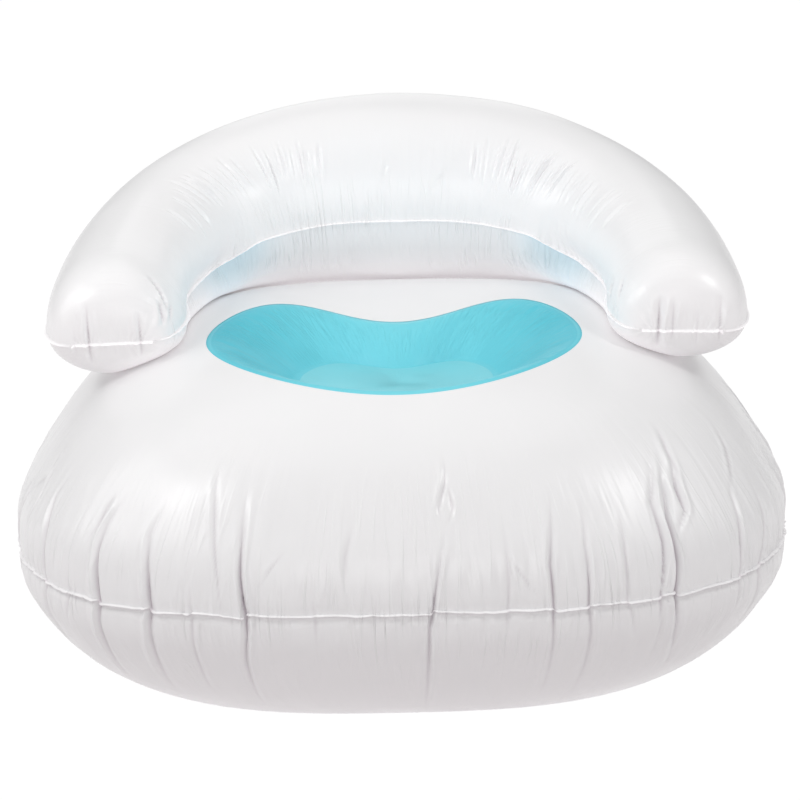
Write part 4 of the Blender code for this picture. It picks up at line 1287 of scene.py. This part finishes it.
def tube_marks(sheet, painted_shade, side, sections, settings):
    """Attributes of one half, with its fins, that its material reads.

    The lower half gets painted cyan light near the inner seam, where it hangs over the cyan well,
    and most beside the sitter, all by bells. A painted glow lies near the contact with the dome, along
    the inner seam, at the ends and on the fins.
    """
    at = sections[-1]
    columns = running_length(sheet, 1)
    from_inner = columns[:, -1:] - columns
    rows = np.clip(np.arange(len(sheet)) - 1, 0, len(at) - 1)
    ring = 2 * math.pi * (at[rows] / 1.9)[:, None] * np.ones_like(columns)
    flow = np.stack([0.30 * np.sin(ring), 0.30 * np.cos(ring), 0.10 * from_inner], axis=-1)
    near = np.exp(-from_inner / (70 * MM)) + 0.3 * np.exp(-columns / (50 * MM))
    along = np.abs(at[rows])[:, None]
    beside = 0.12 * bell(along, 420 * MM, 6) + 0.76 * bell(along - 410 * MM, 105 * MM)
    # Painted cyan light, bounced from the well, on the lower sheet
    painted_light_and_weld_tone = beside * bell(from_inner, 80 * MM) * (side < 0)
    share = np.pad(np.linspace(0, 1, settings.backrest.sides + 1), 1, mode="edge")
    from_seam = side * (1 - share) * math.pi
    # Painted glow near the contact with the dome, along the inner seam, at the ends and on the fins
    glow = contact_glow(dome_gap(sheet, settings.base, settings.film))
    glow = np.maximum(glow, SEAM_GLOW * bell(from_seam - 0.3, 0.65))
    glow = np.maximum(glow, END_GLOW * bell(at[-1] - along, 42 * MM))
    glow[[0, -1]] = FIN_GLOW
    glow[:, [0, -1]] = FIN_GLOW
    # Painted shade of the pleats, carried onto the fins' rows
    painted_shade = np.pad(painted_shade, 1, mode="edge")
    return {"flow": flow, "near": np.clip(near, 0, 1), "contact": glow, "painted_light_and_weld_tone": painted_light_and_weld_tone, "painted_shade": painted_shade}


class SOFA_OT_backrest(bpy.types.Operator):
    """Make the two sheets of the horseshoe tube, with their wrinkles and welded fin"""

    bl_idname = "sofa.backrest"
    bl_label = "Backrest tube"

    def execute(self, context):
        settings = context.scene.sofa
        back, film = settings.backrest, settings.film
        sections = tube_sections(back)
        centre = np.pad(sections[0], ((1, 1), (0, 0)), mode="edge")
        for name, node, side in (
            ("backrest_upper_film", "backrest_upper_sheet", 1),
            ("backrest_lower_film", "backrest_lower_sheet", -1),
        ):
            body, painted_shade = tube_half(side, sections, settings)
            sheet = with_fins(body, sections, back)
            normals = grid_normals(sheet, False, sheet - centre[:, None])
            attributes = tube_marks(sheet, painted_shade, side, sections, settings)
            hole = valve_hole("backrest_valve", back.valve_hole) if side < 0 else None
            piece = two_walled(name, sheet, normals, film, False, attributes, hole=hole)
            dressed(piece, [node], white_film(film))
        return {"FINISHED"}


# Valves and tethers

# Size of the base valve's disc as a share of the solid flap, so that it swings clear of the bore
DISC_SHARE = 0.92


def trimmed_flap(name, valve, share):
    """A copy of a valve's flap, drawn in towards its axis to the share of its radius."""
    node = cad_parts[f"{valve}_flap"]
    place, axis, _ = valve_hole(valve, 0)
    away = mesh_points(node) - place
    along = (away @ axis)[:, None] * axis
    mesh = node.data.copy()
    mesh.name = name
    mesh.vertices.foreach_set("co", (place + along + share * (away - along)).ravel())
    merged = bmesh.new()
    merged.from_mesh(mesh)
    bmesh.ops.remove_doubles(merged, verts=merged.verts, dist=0.001 * MM)
    merged.to_mesh(mesh)
    merged.free()
    return placed(bpy.data.objects.new(name, mesh))


def dress_nodes(wanted, choose):
    """Gives each of the solids that is wanted, by its name, the material that is chosen by it."""
    for name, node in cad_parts.items():
        if wanted(name):
            for slot in node.material_slots:
                slot.material = choose(name)


class SOFA_OT_valves(bpy.types.Operator):
    """Finish the moulded parts of both valves"""

    bl_idname = "sofa.valves"
    bl_label = "Valves"

    def execute(self, context):
        plastic = shared_material("valve_plastic_clear", moulded_material, (0.80, 0.82, 0.83), 0.32)
        rubber = shared_material("valve_rubber", moulded_material, (0.62, 0.64, 0.65), 0.55)
        dress_nodes(
            lambda name: "valve" in name or "strap" in name,
            lambda name: rubber if name.endswith(("seal", "flap")) else plastic,
        )
        flap = trimmed_flap("base_valve_disc", "base_valve", DISC_SHARE)
        dressed(flap, ["base_valve_flap"], rubber, "base_flap")
        return {"FINISHED"}


class SOFA_OT_tethers(bpy.types.Operator):
    """Finish the tethers and the plate that anchors them"""

    bl_idname = "sofa.tethers"
    bl_label = "Tethers"

    def execute(self, context):
        white = tuple(context.scene.sofa.film.white)
        inner = shared_material("tether_vinyl", moulded_material, white, 0.36)
        dress_nodes(lambda name: name.startswith("tether"), lambda name: inner)
        return {"FINISHED"}


# Stage

# Soft lamps: name, turn from the front towards the sitter's left and height in degrees, distance and
# size in metres, and power in watts
LAMPS = (
    ("top_softbox", 235, 84, 2.82, 2.6, 13),
    ("front_softbox", 0, 14, 3.6, 1.6, 15),
    ("left_front_softbox", -54, 43, 3.2, 0.7, 13.5),
    ("right_front_softbox", 60, 43, 3.2, 0.7, 14.5),
    ("left_softbox", -82, 36, 3.2, 1.5, 14),
    ("right_softbox", 85, 36, 3.2, 1.5, 2.5),
    ("back_softbox", 180, 24, 3.4, 1.8, 6),
)

# Point that the lamps face
LAMP_AIM = (0, 0, 0.4)

# The floor's colour, how much of its look is plain white, and the strength of the world's light
FLOOR_COLOUR = (0.67, 0.63, 0.64, 1.0)
FLOOR_GLOW = 0.93
WORLD_STRENGTH = 0.487
WHITE = (1, 1, 1, 1)

# Half the floor's width in metres
FLOOR_HALF = 30.0


def two_shaders(tree, factor, first, second, output):
    """Mixes two shaders by the factor and links the result to the tree's output."""
    mixed = add_node(tree, "ShaderNodeMixShader", {"Fac": factor, 1: first, 2: second}).outputs[0]
    tree.links.new(mixed, tree.nodes[output].inputs["Surface"])


def stage_material(name, colour, glow):
    """A matt surface that keeps shadows, and shows as plain white to the camera and in reflections."""
    made = bpy.data.materials.new(name)
    made.use_nodes = True
    tree = made.node_tree
    shader = tree.nodes["Principled BSDF"]
    set_inputs(tree, shader, {"Base Color": colour, "Roughness": 0.9, "Specular IOR Level": 0.1})
    light = add_node(tree, "ShaderNodeEmission", {"Color": WHITE, "Strength": 1.06}).outputs[0]
    path = add_node(tree, "ShaderNodeLightPath").outputs
    seen = arithmetic(tree, "MAXIMUM", path["Is Camera Ray"], path["Is Glossy Ray"])
    share = arithmetic(tree, "MULTIPLY", seen, glow)
    two_shaders(tree, share, shader.outputs[0], light, "Material Output")
    return made


def studio_world(name, strength):
    """Soft light from all sides that shows as plain white to the camera."""
    world = bpy.data.worlds.new(name)
    world.use_nodes = True
    tree = world.node_tree
    soft = tree.nodes["Background"]
    set_inputs(tree, soft, {"Color": WHITE, "Strength": strength})
    white = add_node(tree, "ShaderNodeBackground", {"Color": WHITE, "Strength": 1.0}).outputs[0]
    path = add_node(tree, "ShaderNodeLightPath").outputs
    two_shaders(tree, path["Is Camera Ray"], soft.outputs[0], white, "World Output")
    return world


def area_lamp(name, azimuth, elevation, distance, size, power):
    """A square soft lamp that faces the aim, placed by its turn and height in degrees round it."""
    turn, rise = math.radians(azimuth), math.radians(elevation)
    reach = distance * math.cos(rise)
    place = (reach * math.sin(turn), -reach * math.cos(turn), LAMP_AIM[2] + distance * math.sin(rise))
    lamp = bpy.data.lights.new(name, "AREA")
    lamp.shape = "SQUARE"
    lamp.size = size
    lamp.energy = power
    holder = bpy.data.objects.new(name, lamp)
    holder.location = place
    aim = Vector(LAMP_AIM) - Vector(place)
    holder.rotation_euler = aim.to_track_quat("-Z", "Y").to_euler()
    return placed(holder)


def front_camera(stage):
    """The photograph's camera: in front, looking down by its elevation and turned by its roll."""
    camera = bpy.data.cameras.new("camera")
    camera.sensor_fit = "HORIZONTAL"
    camera.sensor_width = stage.sensor
    camera.lens = stage.lens
    camera.shift_x = stage.shift
    camera.clip_end = 100.0
    forward = Vector((0, math.cos(stage.elevation), -math.sin(stage.elevation)))
    up = Vector((0, math.sin(stage.elevation), math.cos(stage.elevation)))
    side = Vector((1, 0, 0))
    turned_side = side * math.cos(stage.roll) + up * math.sin(stage.roll)
    turned_up = up * math.cos(stage.roll) - side * math.sin(stage.roll)
    place = Vector(stage.target) - forward * stage.distance
    axes = Matrix((turned_side, turned_up, -forward)).transposed().to_4x4()
    holder = placed(bpy.data.objects.new("camera", camera))
    holder.matrix_world = Matrix.Translation(place) @ axes
    return holder


def floor_plane(half):
    """A square floor of the given half width, which is part of the stage."""
    corners = [(-half, -half, 0), (half, -half, 0), (half, half, 0), (-half, half, 0)]
    mesh = bpy.data.meshes.new("floor")
    mesh.from_pydata(corners, [], [(0, 1, 2, 3)])
    mesh.materials.append(stage_material("floor_white", FLOOR_COLOUR, FLOOR_GLOW))
    floor = placed(bpy.data.objects.new("floor", mesh))


class SOFA_OT_stage(bpy.types.Operator):
    """Set the camera, the lamps, the floor and the backdrop"""

    bl_idname = "sofa.stage"
    bl_label = "Stage"

    def execute(self, context):
        scene = context.scene
        scene.camera = front_camera(scene.sofa.stage)
        floor_plane(FLOOR_HALF)
        scene.world = studio_world("studio", WORLD_STRENGTH)
        scene.view_settings.view_transform = "Standard"
        for lamp in LAMPS:
            area_lamp(*lamp)
        return {"FINISHED"}


class SOFA_PT_panel(bpy.types.Panel):
    """Lists the sofa's pieces in the 3D view's sidebar"""

    bl_idname = "SOFA_PT_panel"
    bl_label = "Inflatable sofa"
    bl_space_type = "VIEW_3D"
    bl_region_type = "UI"
    bl_category = "Sofa"

    def draw(self, context):
        settings = context.scene.sofa
        for group in (settings.film, settings.base, settings.well, settings.backrest, settings.stage):
            box = self.layout.box()
            for label in group.bl_rna.properties.keys():
                if label not in ("rna_type", "name"):
                    box.prop(group, label)
        for operator in PIECES:
            self.layout.operator(operator.bl_idname)


PIECES = (SOFA_OT_base, SOFA_OT_seat_well, SOFA_OT_backrest, SOFA_OT_tethers, SOFA_OT_valves, SOFA_OT_stage)
GROUPS = (FilmProperties, BaseProperties, WellProperties, BackrestProperties, StageProperties, SofaProperties)
CLASSES = GROUPS + PIECES + (SOFA_PT_panel,)


def register():
    """Registers the classes and puts the settings on the scene."""
    for item in CLASSES:
        bpy.utils.register_class(item)
    bpy.types.Scene.sofa = PointerProperty(type=SofaProperties)


def unregister():
    """Takes the settings and the classes away again."""
    del bpy.types.Scene.sofa
    for item in reversed(CLASSES):
        bpy.utils.unregister_class(item)


def main():
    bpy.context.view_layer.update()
    register()
    bpy.ops.sofa.stage()
    bpy.ops.sofa.base()
    bpy.ops.sofa.seat_well()
    bpy.ops.sofa.backrest()
    bpy.ops.sofa.tethers()
    bpy.ops.sofa.valves()


if __name__ == "__main__":
    main()
